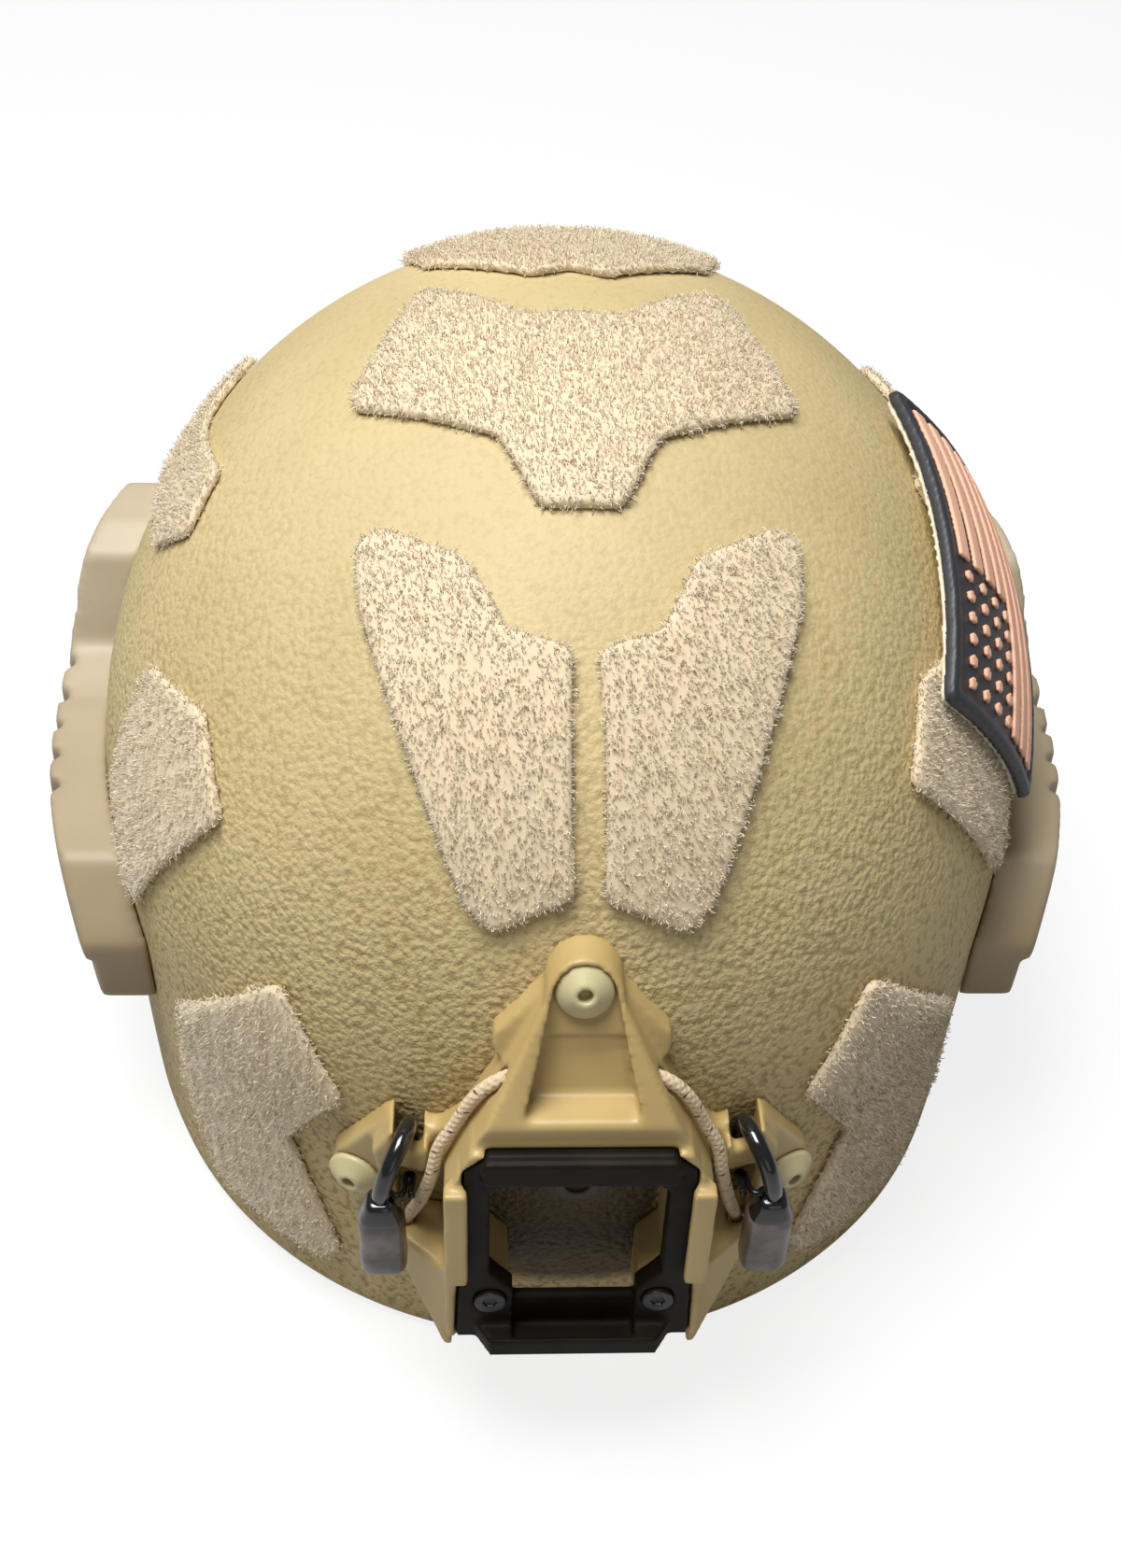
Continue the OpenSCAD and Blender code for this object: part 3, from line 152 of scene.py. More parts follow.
lamp("lamp_over_crown", place=(-0.30, -0.05, 1.35), aim=(0, 0, 0.1), width=0.7, watts=24.5)
lamp("lamp_in_front", place=(0.25, -1.2, 0.45), aim=(0, 0, 0.07), width=0.6, watts=0.6)

# Shell
# A laminated aramid shell, hot-pressed in one piece, about 9 mm thick, with high ear cuts.
# It is sprayed with sand-tan textured paint that lies coarser towards the rim.
# Towards the rim the paint's colour carries painted shade: darker, more saturated, and dark in the hollows
# between grains.
record = frame["record"]
body_of = {name: body for body, names in record["behaviour"]["bodies"].items() for name in names}


def screen(red, green, blue):
    """A colour given as it shows on a screen, 0 to 255, turned into linear light."""
    return tuple(((c / 255 + 0.055) / 1.055) ** 2.4 for c in (red, green, blue)) + (1,)


def new_material(name, color, roughness, metallic=0.0):
    """A material with its plain finish set, ready for patterns."""
    material = bpy.data.materials.new(name)
    material.use_nodes = True
    shader = material.node_tree.nodes["Principled BSDF"]
    shader.inputs["Base Color"].default_value = color
    shader.inputs["Roughness"].default_value = roughness
    shader.inputs["Metallic"].default_value = metallic
    return material


def pattern_space(material):
    """A material's node tree, and the object's own metres as a vector in it."""
    return material.node_tree, material.node_tree.nodes.new("ShaderNodeTexCoord").outputs["Object"]


def color_with(tree, color):
    """Wires a colour to the material's shader."""
    tree.links.new(color, tree.nodes["Principled BSDF"].inputs["Base Color"])


def roughen_with(tree, roughness):
    """Wires a roughness to the material's shader."""
    tree.links.new(roughness, tree.nodes["Principled BSDF"].inputs["Roughness"])


def new_group(name, inputs, outputs):
    """A shader node group with its sockets, and its two end nodes."""
    group = bpy.data.node_groups.new(name, "ShaderNodeTree")
    for label, kind, value in inputs:
        socket = group.interface.new_socket(label, in_out="INPUT", socket_type=kind)
        if value is not None:
            socket.default_value = value
    for label, kind in outputs:
        group.interface.new_socket(label, in_out="OUTPUT", socket_type=kind)
    return group, group.nodes.new("NodeGroupInput"), group.nodes.new("NodeGroupOutput")


def math_node(tree, operation, first, second):
    """A math node whose inputs are sockets or numbers. Gives its output."""
    node = tree.nodes.new("ShaderNodeMath")
    node.operation = operation
    for slot, value in enumerate((first, second)):
        if isinstance(value, (int, float)):
            node.inputs[slot].default_value = value
        else:
            tree.links.new(value, node.inputs[slot])
    return node.outputs[0]


def mix_color(tree, factor, first, second):
    """A colour mix whose inputs are sockets or values. Gives its output."""
    node = tree.nodes.new("ShaderNodeMix")
    node.data_type = "RGBA"
    for slot, value in ((0, factor), (6, first), (7, second)):
        if isinstance(value, (int, float, tuple)):
            node.inputs[slot].default_value = value
        else:
            tree.links.new(value, node.inputs[slot])
    return node.outputs[2]


def noise_node(tree, vector, scale, detail=2.0, rough=0.5):
    """A noise texture on a vector. The scale is a number or a socket."""
    node = tree.nodes.new("ShaderNodeTexNoise")
    node.inputs["Detail"].default_value = detail
    node.inputs["Roughness"].default_value = rough
    tree.links.new(vector, node.inputs["Vector"])
    if isinstance(scale, (int, float)):
        node.inputs["Scale"].default_value = scale
    else:
        tree.links.new(scale, node.inputs["Scale"])
    return node.outputs["Fac"]


def ramp(tree, value, low, high, from_value=0.0, to_value=1.0):
    """Maps a value's stretch from low to high onto another stretch, and clamps it."""
    node = tree.nodes.new("ShaderNodeMapRange")
    tree.links.new(value, node.inputs["Value"])
    node.inputs["From Min"].default_value = low
    node.inputs["From Max"].default_value = high
    node.inputs["To Min"].default_value = from_value
    node.inputs["To Max"].default_value = to_value
    return node.outputs["Result"]


def bump(tree, height, strength, depth):
    """A bump from a height field, depth in metres, wired to the material's shader."""
    node = tree.nodes.new("ShaderNodeBump")
    node.inputs["Distance"].default_value = depth
    if isinstance(strength, (int, float)):
        node.inputs["Strength"].default_value = strength
    else:
        tree.links.new(strength, node.inputs["Strength"])
    tree.links.new(height, node.inputs["Height"])
    tree.links.new(node.outputs["Normal"], tree.nodes["Principled BSDF"].inputs["Normal"])


# Sprayed grain: rounded grains over a finer dust, both in the object's own metres.
grain_group, g_in, g_out = new_group(
    "sprayed_grain",
    [("Vector", "NodeSocketVector", None), ("Grains per metre", "NodeSocketFloat", 500.0)],
    [("Height", "NodeSocketFloat"), ("Dust", "NodeSocketFloat")])
cell_fineness, dome_height, lump_height, dust_fineness = 1.15, 0.45, 0.8, 4.0
lumps = noise_node(grain_group, g_in.outputs["Vector"], g_in.outputs["Grains per metre"], 2.5, 0.55)
cells = grain_group.nodes.new("ShaderNodeTexVoronoi")
cells.feature = "SMOOTH_F1"
cells.inputs["Smoothness"].default_value = 0.6
grain_group.links.new(g_in.outputs["Vector"], cells.inputs["Vector"])
grain_group.links.new(math_node(grain_group, "MULTIPLY", g_in.outputs["Grains per metre"],
                                cell_fineness),
                      cells.inputs["Scale"])
domes = ramp(grain_group, cells.outputs["Distance"], 0.0, 0.8, 1.0, 0.0)
domes = math_node(grain_group, "MULTIPLY", domes, dome_height)
lumps = math_node(grain_group, "MULTIPLY", lumps, lump_height)
grain_group.links.new(math_node(grain_group, "ADD", lumps, domes), g_out.inputs["Height"])
dust = noise_node(grain_group, g_in.outputs["Vector"],
                  math_node(grain_group, "MULTIPLY", g_in.outputs["Grains per metre"], dust_fineness), 2.0)
grain_group.links.new(dust, g_out.inputs["Dust"])


def place_group(tree, group, vector, **values):
    """Places a node group in a material, fed by a vector and set by its own values."""
    node = tree.nodes.new("ShaderNodeGroup")
    node.node_tree = group
    tree.links.new(vector, node.inputs["Vector"])
    for label, value in values.items():
        node.inputs[label.replace("_", " ")].default_value = value
    return node


shell_material = new_material("shell_paint", screen(194, 176, 130), roughness=0.6)
tree, where = pattern_space(shell_material)
apart = tree.nodes.new("ShaderNodeSeparateXYZ")
tree.links.new(where, apart.inputs[0])
grain = place_group(tree, grain_group, where, Grains_per_metre=600.0)
coarse_and_shaded_below, smooth_and_unshaded_above, grain_and_shade_on_top = 0.06, 0.175, 0.17
low_down = ramp(tree, apart.outputs["Z"], coarse_and_shaded_below, smooth_and_unshaded_above, 1.0, grain_and_shade_on_top)
blotch = noise_node(tree, where, scale=22.0, detail=3.0)
paint = mix_color(tree, ramp(tree, blotch, 0.35, 0.65), screen(189, 171, 124), screen(199, 181, 135))
# Painted shade: towards the rim the paint is mixed darker and more saturated.
paint = mix_color(tree, math_node(tree, "MULTIPLY", low_down, 0.4), paint, screen(192, 166, 104))
# Painted shade in the hollows between the grains, strongest towards the rim.
pit_shade = ramp(tree, grain.outputs["Height"], 0.42, 0.54, 0.62, 0.0)
pit_shade = math_node(tree, "MULTIPLY", pit_shade, low_down)
speck = ramp(tree, grain.outputs["Dust"], 0.6, 0.75, 0.0, 0.3)
paint = mix_color(tree, pit_shade, paint, screen(128, 101, 46))
paint = mix_color(tree, speck, paint, screen(222, 204, 158))
# Painted shade: behind the shroud's window the shell is painted dark, as if shadowed by the shroud's top bar
# and frame.
window_shade_half, window_shade_low, window_shade_top, window_shade_back = 0.0185, 0.026, 0.086, -0.105
window_shade_soft, window_shade_cover = 0.002, 0.88
beside = math_node(tree, "ABSOLUTE", apart.outputs["X"], 0.0)
window_shade = ramp(tree, beside, window_shade_half - window_shade_soft, window_shade_half, 1.0, 0.0)
for value, edge, soft in ((apart.outputs["Z"], window_shade_low, 0.004), (apart.outputs["Z"], window_shade_top, -0.003),
                          (apart.outputs["Y"], window_shade_back, -0.01)):
    window_shade = math_node(tree, "MULTIPLY", window_shade, ramp(tree, value, edge, edge + soft))
window_shade = math_node(tree, "MULTIPLY", window_shade, window_shade_cover)
color_with(tree, mix_color(tree, window_shade, paint, screen(62, 48, 28)))
height = math_node(tree, "ADD", grain.outputs["Height"],
                   math_node(tree, "MULTIPLY", grain.outputs["Dust"], 0.12))
bump(tree, height, strength=low_down, depth=0.0014)

shell_low, shell_high = (Vector(corner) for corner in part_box("shell"))
shell_mid_y = (shell_low.y + shell_high.y) / 2
half_w = (shell_high.x - shell_low.x) / 2
half_l = (shell_high.y - shell_low.y) / 2
widest_z = shell_high.z - half_w
end_radius = 0.1035
shell_wall = 0.009
rim_round = 0.0035
end_c = half_l - end_radius
side_c = (end_c ** 2 - (half_w - end_radius) ** 2) / (2 * (half_w - end_radius))
side_radius = half_w + side_c
join_turn = math.atan2(end_c, side_c)


def oval_side(off, end_steps=30, side_steps=84):
    """One side of the plan oval grown by off, from the brow's middle to the nape's middle."""
    points = []
    for k in range(end_steps):
        a = -math.pi / 2 + (math.pi / 2 - join_turn) * k / end_steps
        points.append(((end_radius + off) * math.cos(a), -end_c + (end_radius + off) * math.sin(a)))
    for k in range(side_steps):
        a = -join_turn + 2 * join_turn * k / side_steps
        points.append((-side_c + (side_radius + off) * math.cos(a), (side_radius + off) * math.sin(a)))
    for k in range(end_steps + 1):
        a = join_turn + (math.pi / 2 - join_turn) * k / end_steps
        points.append(((end_radius + off) * math.cos(a), end_c + (end_radius + off) * math.sin(a)))
    return points


ear_height, ear_length, ear_back = 0.046, 0.128, 0.006
ear_slope_front, ear_slope_rear, ear_step = 0.026, 0.030, 0.006
rim_reach, rim_samples, soft_samples, ear_edge = 0.16, 641, 33, 0.001
rim_y = np.linspace(-rim_reach, rim_reach, rim_samples)
rim_z = np.interp(rim_y, [ear_back - ear_length / 2 - ear_edge, ear_back - ear_length / 2,
                          ear_back - ear_length / 2 + ear_slope_front,
                          ear_back + ear_length / 2 - ear_slope_rear,
                          ear_back + ear_length / 2, ear_back + ear_length / 2 + ear_edge],
                  [0.0, ear_step, ear_height, ear_height, ear_step, 0.0])
soft_window = np.hanning(soft_samples)
rim_z = np.convolve(np.pad(rim_z, soft_samples // 2, mode="edge"), soft_window / soft_window.sum(),
                    mode="valid")


def shell_surface(off, dome_steps=88, wall_steps=16):
    """Rings of the shell's surface grown by off: the dome's arches, each ended by its two walls."""
    rings = []
    for x, y in oval_side(off):
        bottom = float(np.interp(y, rim_y, rim_z)) + rim_round - widest_z
        right = [(x, y, bottom * (1 - k / wall_steps)) for k in range(wall_steps)]
        arch = [(x * math.cos(a), y, x * math.sin(a))
                for a in (math.pi * j / dome_steps for j in range(dome_steps + 1))]
        left = [(-p[0], p[1], p[2]) for p in reversed(right)]
        rings.append(right + arch + left)
    return rings


outer_rings, inner_rings = shell_surface(0.0), shell_surface(-shell_wall)
rim_steps = 6
rings = []
for i, (outer, inner) in enumerate(zip(outer_rings, inner_rings)):
    (xo, yo, zo), (xi, yi, _) = outer[0], inner[0]
    curve = []
    for k in range(1, rim_steps):
        a = math.pi * k / rim_steps
        share = (1 - math.cos(a)) / 2
        curve.append((xo + (xi - xo) * share, yo + (yi - yo) * share, zo - rim_round * math.sin(a)))
    left_curve = [(-p[0], p[1], p[2]) for p in curve]
    rings.append(outer + left_curve + list(reversed(inner)) + list(reversed(curve)))
around = len(rings[0])
verts = [(x, y + shell_mid_y, z + widest_z) for ring in rings for x, y, z in ring]
faces = [(i * around + j, i * around + (j + 1) % around, (i + 1) * around + (j + 1) % around,
          (i + 1) * around + j) for i in range(len(rings) - 1) for j in range(around)]


def mesh_piece(name, verts, faces, material, smooth=True):
    """A mesh object made from points and faces, merged, with its faces turned outwards."""
    data = bpy.data.meshes.new(name)
    data.from_pydata(verts, [], faces)
    work = bmesh.new()
    work.from_mesh(data)
    bmesh.ops.remove_doubles(work, verts=work.verts, dist=1e-6)
    bmesh.ops.dissolve_degenerate(work, edges=work.edges, dist=1e-7)
    bmesh.ops.recalc_face_normals(work, faces=work.faces)
    for face in work.faces:
        face.smooth = smooth
    work.to_mesh(data)
    work.free()
    data.materials.append(material)
    piece = bpy.data.objects.new(name, data)
    bpy.context.scene.collection.objects.link(piece)
    return piece


def dress(piece, *node_names):
    """Puts a finished piece in the place of the solids that it stands for."""
    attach(piece, body_of[node_names[0]])
    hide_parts(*node_names)


dress(mesh_piece("shell_skin", verts, faces, shell_material), "shell")

# Side rails
# Two moulded nylon rails, smooth and matt, screwed to the sides above the ear cuts.
# Their edges are softly rounded by the mould, and a row of notches takes accessories.
rail_material = new_material("rail_plastic", screen(178, 164, 138), roughness=0.5)
tree, where = pattern_space(rail_material)
grain = place_group(tree, grain_group, where, Grains_per_metre=1500.0)
bump(tree, grain.outputs["Height"], strength=0.18, depth=0.0001)
tint = ramp(tree, noise_node(tree, where, scale=30.0, detail=3.0), 0.3, 0.7)
plastic = mix_color(tree, tint, screen(173, 158, 131), screen(184, 170, 145))
rail_apart = tree.nodes.new("ShaderNodeSeparateXYZ")
tree.links.new(where, rail_apart.inputs[0])
# Painted shade: the rails' colour darkens towards their lower ends.
rail_shade_below, rail_shade_clear_above, rail_shade_most = 0.055, 0.100, 0.85
rail_painted_shade = ramp(tree, rail_apart.outputs["Z"], rail_shade_below, rail_shade_clear_above, rail_shade_most, 0.0)
color_with(tree, mix_color(tree, rail_painted_shade, plastic, screen(128, 105, 66)))


def solid_copy(node_name, piece_name):
    """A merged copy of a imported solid, as a new object."""
    data = frame["nodes"][node_name].data.copy()
    data.name = piece_name
    work = bmesh.new()
    work.from_mesh(data)
    bmesh.ops.remove_doubles(work, verts=work.verts, dist=2e-6)
    work.to_mesh(data)
    work.free()
    data.materials.clear()
    piece = bpy.data.objects.new(piece_name, data)
    bpy.context.scene.collection.objects.link(piece)
    return piece


def applied(piece):
    """Turns a piece's modifiers into plain mesh and removes them."""
    graph = bpy.context.evaluated_depsgraph_get()
    data = bpy.data.meshes.new_from_object(piece.evaluated_get(graph))
    piece.modifiers.clear()
    old = piece.data
    piece.data = data
    data.name = piece.name
    bpy.data.meshes.remove(old)
    return piece


def moulded(node_name, piece_name, material, cell, rounds):
    """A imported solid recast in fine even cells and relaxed, which rounds every edge alike."""
    piece = solid_copy(node_name, piece_name)
    recast = piece.modifiers.new("recast", "REMESH")
    recast.mode = "VOXEL"
    recast.voxel_size = cell
    recast.use_smooth_shade = True
    relax = piece.modifiers.new("relax", "SMOOTH")
    relax.factor = 0.5
    relax.iterations = rounds
    applied(piece)
    piece.data.materials.clear()
    piece.data.materials.append(material)
    return piece


rail_cell, rail_rounds = 0.0010, 6
for side in ("left", "right"):
    rail = moulded(f"rail_{side}", f"side_rail_{side}", rail_material, rail_cell, rail_rounds)
    dress(rail, f"rail_{side}")

# Shell fasteners
# Khaki-painted steel screws with dished heads hold the rails, the shroud and the nape tab.
# Plain steel sleeve nuts catch them inside the shell.
screw_material = new_material("screw_metal", screen(198, 188, 144), roughness=0.4)
tree, where = pattern_space(screw_material)
grain = place_group(tree, grain_group, where, Grains_per_metre=2200.0)
bump(tree, grain.outputs["Height"], strength=0.12, depth=0.0001)
color_with(tree, mix_color(tree, ramp(tree, grain.outputs["Dust"], 0.4, 0.7),
                           screen(192, 181, 136), screen(206, 196, 153)))
nut_material = new_material("nut_metal", screen(150, 150, 148), roughness=0.36, metallic=1.0)
tree, where = pattern_space(nut_material)
roughen_with(tree, ramp(tree, noise_node(tree, where, scale=900.0, detail=3.0), 0.3, 0.7, 0.28, 0.5))
color_with(tree, mix_color(tree, noise_node(tree, where, scale=240.0, detail=4.0), screen(128, 126, 122),
                           screen(172, 172, 170)))
screw_cell, nut_cell = 0.00034, 0.0005
for node_name in ("shroud_screws", "rail_screws", "nape_screw"):
    dress(moulded(node_name, node_name + "_turned", screw_material, screw_cell, 3), node_name)
for node_name in ("rail_nuts", "shroud_nuts"):
    dress(moulded(node_name, node_name + "_turned", nut_material, nut_cell, 2), node_name)

# Loop patches
# Ten patches of looped nylon pile, glued on, to which badges and lamps are stuck.
# Each has a woven ground and thousands of small loops that fray outwards at its cut edge.
patch_cell = 0.0010
loops_per_square_metre = 1.45e6
thread_radius = 0.00009
loop_height, loop_foot = 0.0009, 0.00030

pile_material = new_material("loop_fabric", screen(228, 201, 173), roughness=0.72)
shader = pile_material.node_tree.nodes["Principled BSDF"]
shader.inputs["Sheen Weight"].default_value = 0.8
shader.inputs["Sheen Roughness"].default_value = 0.4
tree, where = pattern_space(pile_material)
per_loop = tree.nodes.new("ShaderNodeAttribute")
per_loop.attribute_name = "shade"
drift = ramp(tree, noise_node(tree, where, scale=160.0, detail=3.0), 0.35, 0.65)
thread = mix_color(tree, per_loop.outputs["Fac"], screen(205, 181, 146), screen(254, 246, 218))
color_with(tree, mix_color(tree, math_node(tree, "MULTIPLY", drift, 0.3), thread,
                           screen(214, 190, 156)))
bump(tree, noise_node(tree, where, scale=2600.0, detail=2.0), strength=0.35, depth=0.00015)


def tube(path, radius, sides):
    """Points and faces of a round tube along a path. The radius is a number or a function."""
    path = [Vector(p) for p in path]
    across = None
    verts, faces = [], []
    length = 0.0
    for i, p in enumerate(path):
        heading = (path[min(i + 1, len(path) - 1)] - path[max(i - 1, 0)]).normalized()
        if across is None:
            across = heading.orthogonal().normalized()
        across = (across - heading * across.dot(heading)).normalized()
        beside = heading.cross(across)
        if i:
            length += (p - path[i - 1]).length
        for j in range(sides):
            a = 2 * math.pi * j / sides
            r = radius(length, a) if callable(radius) else radius
            verts.append(p + (across * math.cos(a) + beside * math.sin(a)) * r)
    for i in range(len(path) - 1):
        for j in range(sides):
            k = (j + 1) % sides
            faces.append((i * sides + j, i * sides + k, (i + 1) * sides + k, (i + 1) * sides + j))
    last = (len(path) - 1) * sides
    faces.append(tuple(reversed(range(sides))))
    faces.append(tuple(last + j for j in range(sides)))
    return verts, faces


loop_shapes = bpy.data.collections.new("loop_shapes")
bpy.context.scene.collection.children.link(loop_shapes)
for k, (lean, curl, reach) in enumerate([(0.0, 1.0, 1.0), (0.5, 1.0, 0.85), (-0.4, 0.7, 1.2),
                                         (0.9, 0.8, 0.75), (0.2, 0.6, 1.35)]):
    arc = []
    for step in range(4):
        a = math.pi * curl * step / 3
        arc.append((-loop_foot * math.cos(a), lean * loop_height * 0.5 * math.sin(a),
                    loop_height * reach * math.sin(a) - thread_radius))
    verts, faces = tube(arc, thread_radius, 3)
    shape = mesh_piece(f"loop_{k}", verts, faces, pile_material)
    bpy.context.scene.collection.objects.unlink(shape)
    loop_shapes.objects.link(shape)


def pile_tree():
    """The Geometry Nodes tree that sows loops over the faces marked as pile."""
    tree = bpy.data.node_groups.new("loop_pile", "GeometryNodeTree")
    tree.interface.new_socket("Geometry", in_out="INPUT", socket_type="NodeSocketGeometry")
    tree.interface.new_socket("Loops per area", in_out="INPUT", socket_type="NodeSocketFloat")
    tree.interface.new_socket("Seed", in_out="INPUT", socket_type="NodeSocketInt")
    tree.interface.new_socket("Geometry", in_out="OUTPUT", socket_type="NodeSocketGeometry")
    make, link = tree.nodes.new, tree.links.new
    start, end = make("NodeGroupInput"), make("NodeGroupOutput")
    marked = make("GeometryNodeInputNamedAttribute")
    marked.data_type = "BOOLEAN"
    marked.inputs["Name"].default_value = "pile"
    sow = make("GeometryNodeDistributePointsOnFaces")
    link(start.outputs["Geometry"], sow.inputs["Mesh"])
    link(marked.outputs["Attribute"], sow.inputs["Selection"])
    link(start.outputs["Loops per area"], sow.inputs["Density"])
    link(start.outputs["Seed"], sow.inputs["Seed"])
    shapes = make("GeometryNodeCollectionInfo")
    shapes.inputs["Collection"].default_value = loop_shapes
    shapes.inputs["Separate Children"].default_value = True
    shapes.inputs["Reset Children"].default_value = True
    spin = make("FunctionNodeRandomValue")
    spin.data_type = "FLOAT"
    spin.inputs[3].default_value = 2 * math.pi
    turn = make("FunctionNodeAxisAngleToRotation")
    link(spin.outputs[1], turn.inputs["Angle"])
    tip = make("FunctionNodeRotateRotation")
    tip.rotation_space = "LOCAL"
    link(sow.outputs["Rotation"], tip.inputs["Rotation"])
    link(turn.outputs["Rotation"], tip.inputs["Rotate By"])
    size = make("FunctionNodeRandomValue")
    size.data_type = "FLOAT"
    size.inputs[2].default_value = 0.65
    size.inputs[3].default_value = 1.35
    size.inputs["Seed"].default_value = 3
    stand = make("GeometryNodeInstanceOnPoints")
    link(sow.outputs["Points"], stand.inputs["Points"])
    link(shapes.outputs["Instances"], stand.inputs["Instance"])
    stand.inputs["Pick Instance"].default_value = True
    link(tip.outputs["Rotation"], stand.inputs["Rotation"])
    link(size.outputs[1], stand.inputs["Scale"])
    shade = make("FunctionNodeRandomValue")
    shade.data_type = "FLOAT"
    shade.inputs["Seed"].default_value = 7
    store = make("GeometryNodeStoreNamedAttribute")
    store.domain = "INSTANCE"
    store.data_type = "FLOAT"
    store.inputs["Name"].default_value = "shade"
    link(stand.outputs["Instances"], store.inputs["Geometry"])
    link(shade.outputs[1], store.inputs["Value"])
    real = make("GeometryNodeRealizeInstances")
    link(store.outputs["Geometry"], real.inputs["Geometry"])
    ground = make("GeometryNodeStoreNamedAttribute")
    ground.domain = "POINT"
    ground.data_type = "FLOAT"
    ground.inputs["Name"].default_value = "shade"
    ground.inputs["Value"].default_value = 0.25
    link(start.outputs["Geometry"], ground.inputs["Geometry"])
    join = make("GeometryNodeJoinGeometry")
    link(ground.outputs["Geometry"], join.inputs["Geometry"])
    link(real.outputs["Geometry"], join.inputs["Geometry"])
    finish = make("GeometryNodeSetMaterial")
    finish.inputs["Material"].default_value = pile_material
    link(join.outputs["Geometry"], finish.inputs["Geometry"])
    link(finish.outputs["Geometry"], end.inputs["Geometry"])
    return tree


loop_pile = pile_tree()
dome_center = Vector((0, shell_mid_y, widest_z - 0.02))


def mark_pile(piece, least=-0.35):
    """Marks the faces that don't lie against the shell."""
    marks = piece.data.attributes.new("pile", "BOOLEAN", "FACE")
    for face, mark in zip(piece.data.polygons, marks.data):
        mark.value = face.normal.dot((face.center - dome_center).normalized()) > least


def grow_pile(piece, tree, density, seed):
    """Runs the pile tree on a piece and keeps the result as plain mesh."""
    grower = piece.modifiers.new("pile", "NODES")
    grower.node_group = tree
    for item in tree.interface.items_tree:
        if item.in_out == "INPUT" and item.name == "Loops per area":
            grower[item.identifier] = float(density)
        if item.in_out == "INPUT" and item.name == "Seed":
            grower[item.identifier] = seed
    applied(piece)


patch_names = ["crown_patch", "rear_crown_patch"] + [f"{name}_patch_{side}" for side in ("left", "right")
                                                     for name in ("brow", "side", "temple", "rear_side")]
for seed, name in enumerate(patch_names):
    piece = moulded(name, name + "_pile", pile_material, patch_cell, 2)
    mark_pile(piece)
    grow_pile(piece, loop_pile, loops_per_square_metre, seed)
    dress(piece, name)

# Shroud
# A die-cast aluminium mount for a night-vision arm, three-screwed to the brow and painted tan.
# The casting has a nose round the top screw, two ears, two wings and an open frame for the insert.
shroud_material = new_material("shroud_paint", screen(184, 158, 102), roughness=0.4)
tree, where = pattern_space(shroud_material)
grain = place_group(tree, grain_group, where, Grains_per_metre=1700.0)
bump(tree, grain.outputs["Height"], strength=0.2, depth=0.0001)
tint = ramp(tree, noise_node(tree, where, scale=45.0, detail=3.0), 0.3, 0.7)
color_with(tree, mix_color(tree, tint, screen(178, 151, 95), screen(190, 165, 109)))
shroud_cell, shroud_rounds = 0.00068, 5
dress(moulded("shroud_body", "shroud_casting", shroud_material, shroud_cell, shroud_rounds), "shroud_body")

# Insert and its screws
# A dark steel plate with a window, slid into the shroud from below and held by two black screws.
# Its bottom lip and its chamfered top bar catch the tongue of the arm.
insert_material = new_material("insert_metal", screen(24, 19, 12), roughness=0.55)
insert_material.node_tree.nodes["Principled BSDF"].inputs["Specular IOR Level"].default_value = 0.14
tree, where = pattern_space(insert_material)
grain = place_group(tree, grain_group, where, Grains_per_metre=2400.0)
bump(tree, grain.outputs["Height"], strength=0.25, depth=0.0001)
color_with(tree, mix_color(tree, ramp(tree, noise_node(tree, where, scale=120.0, detail=4.0), 0.35, 0.7),
                           screen(20, 16, 10), screen(32, 25, 16)))
dark_screw_material = new_material("dark_screw", screen(30, 27, 25), roughness=0.35)
tree, where = pattern_space(dark_screw_material)
roughen_with(tree, ramp(tree, noise_node(tree, where, scale=1200.0, detail=2.0), 0.3, 0.7, 0.28, 0.45))
dress(moulded("shroud_insert", "insert_plate", insert_material, cell=0.0005, rounds=2), "shroud_insert")
dress(moulded("insert_screws", "insert_screws_turned", dark_screw_material, cell=0.0002, rounds=2),
      "insert_screws")

# Stop block
# A small moulded rubber tab with a round button, glued to the shell inside the window.
rubber_material = new_material("dark_rubber", screen(62, 50, 36), roughness=0.62)
tree, where = pattern_space(rubber_material)
bump(tree, noise_node(tree, where, scale=1500.0, detail=3.0), strength=0.3, depth=0.00012)
color_with(tree, mix_color(tree, noise_node(tree, where, scale=400.0, detail=3.0), screen(54, 43, 30),
                           screen(72, 59, 43)))
dress(moulded("stop_block", "stop_tab", rubber_material, cell=0.0003, rounds=4), "stop_block")

# Retention cords
# Two short elastic cords with a braided sleeve, beige with dark flecks.
# Each runs from a hole beside the shroud's nose down to a hole at the foot of its ear.
brow = Vector((0, shell_mid_y - half_l, widest_z))
mm = 0.001
cord_radius = 0.0014
cord_step = 0.00020
cord_sides = 32
cord_route = [(12.5, -2.6, 26.9), (15.4, -3.2, 26), (18.2, -3.7, 24), (20.9, -4, 20.2),
              (23.8, -4.3, 13.8), (27, -5.2, 7.5), (28.6, -6.1, -0.5), (30.9, -4.2, -10.9),
              (32.9, -1.8, -18.4), (34, -0.5, -22.6), (34.8, 0.4, -26)]


def smooth_route(points, step):
    """A smooth curve through points given in millimetres about the brow, about a step apart."""
    p = [brow + Vector(q) * mm for q in points]
    out = []
    for i in range(len(p) - 1):
        a, b, c, d = p[max(i - 1, 0)], p[i], p[i + 1], p[min(i + 2, len(p) - 1)]
        count = max(2, round((c - b).length / step))
        for k in range(count):
            t = k / count
            out.append(0.5 * ((2 * b) + (c - a) * t + (2 * a - 5 * b + 4 * c - d) * t ** 2
                              + (3 * b - a - 3 * c + d) * t ** 3))
    return out + [p[-1]]


def mirrored(points):
    """Points of a route for the other side."""
    return [(-x, y, z) for x, y, z in points]


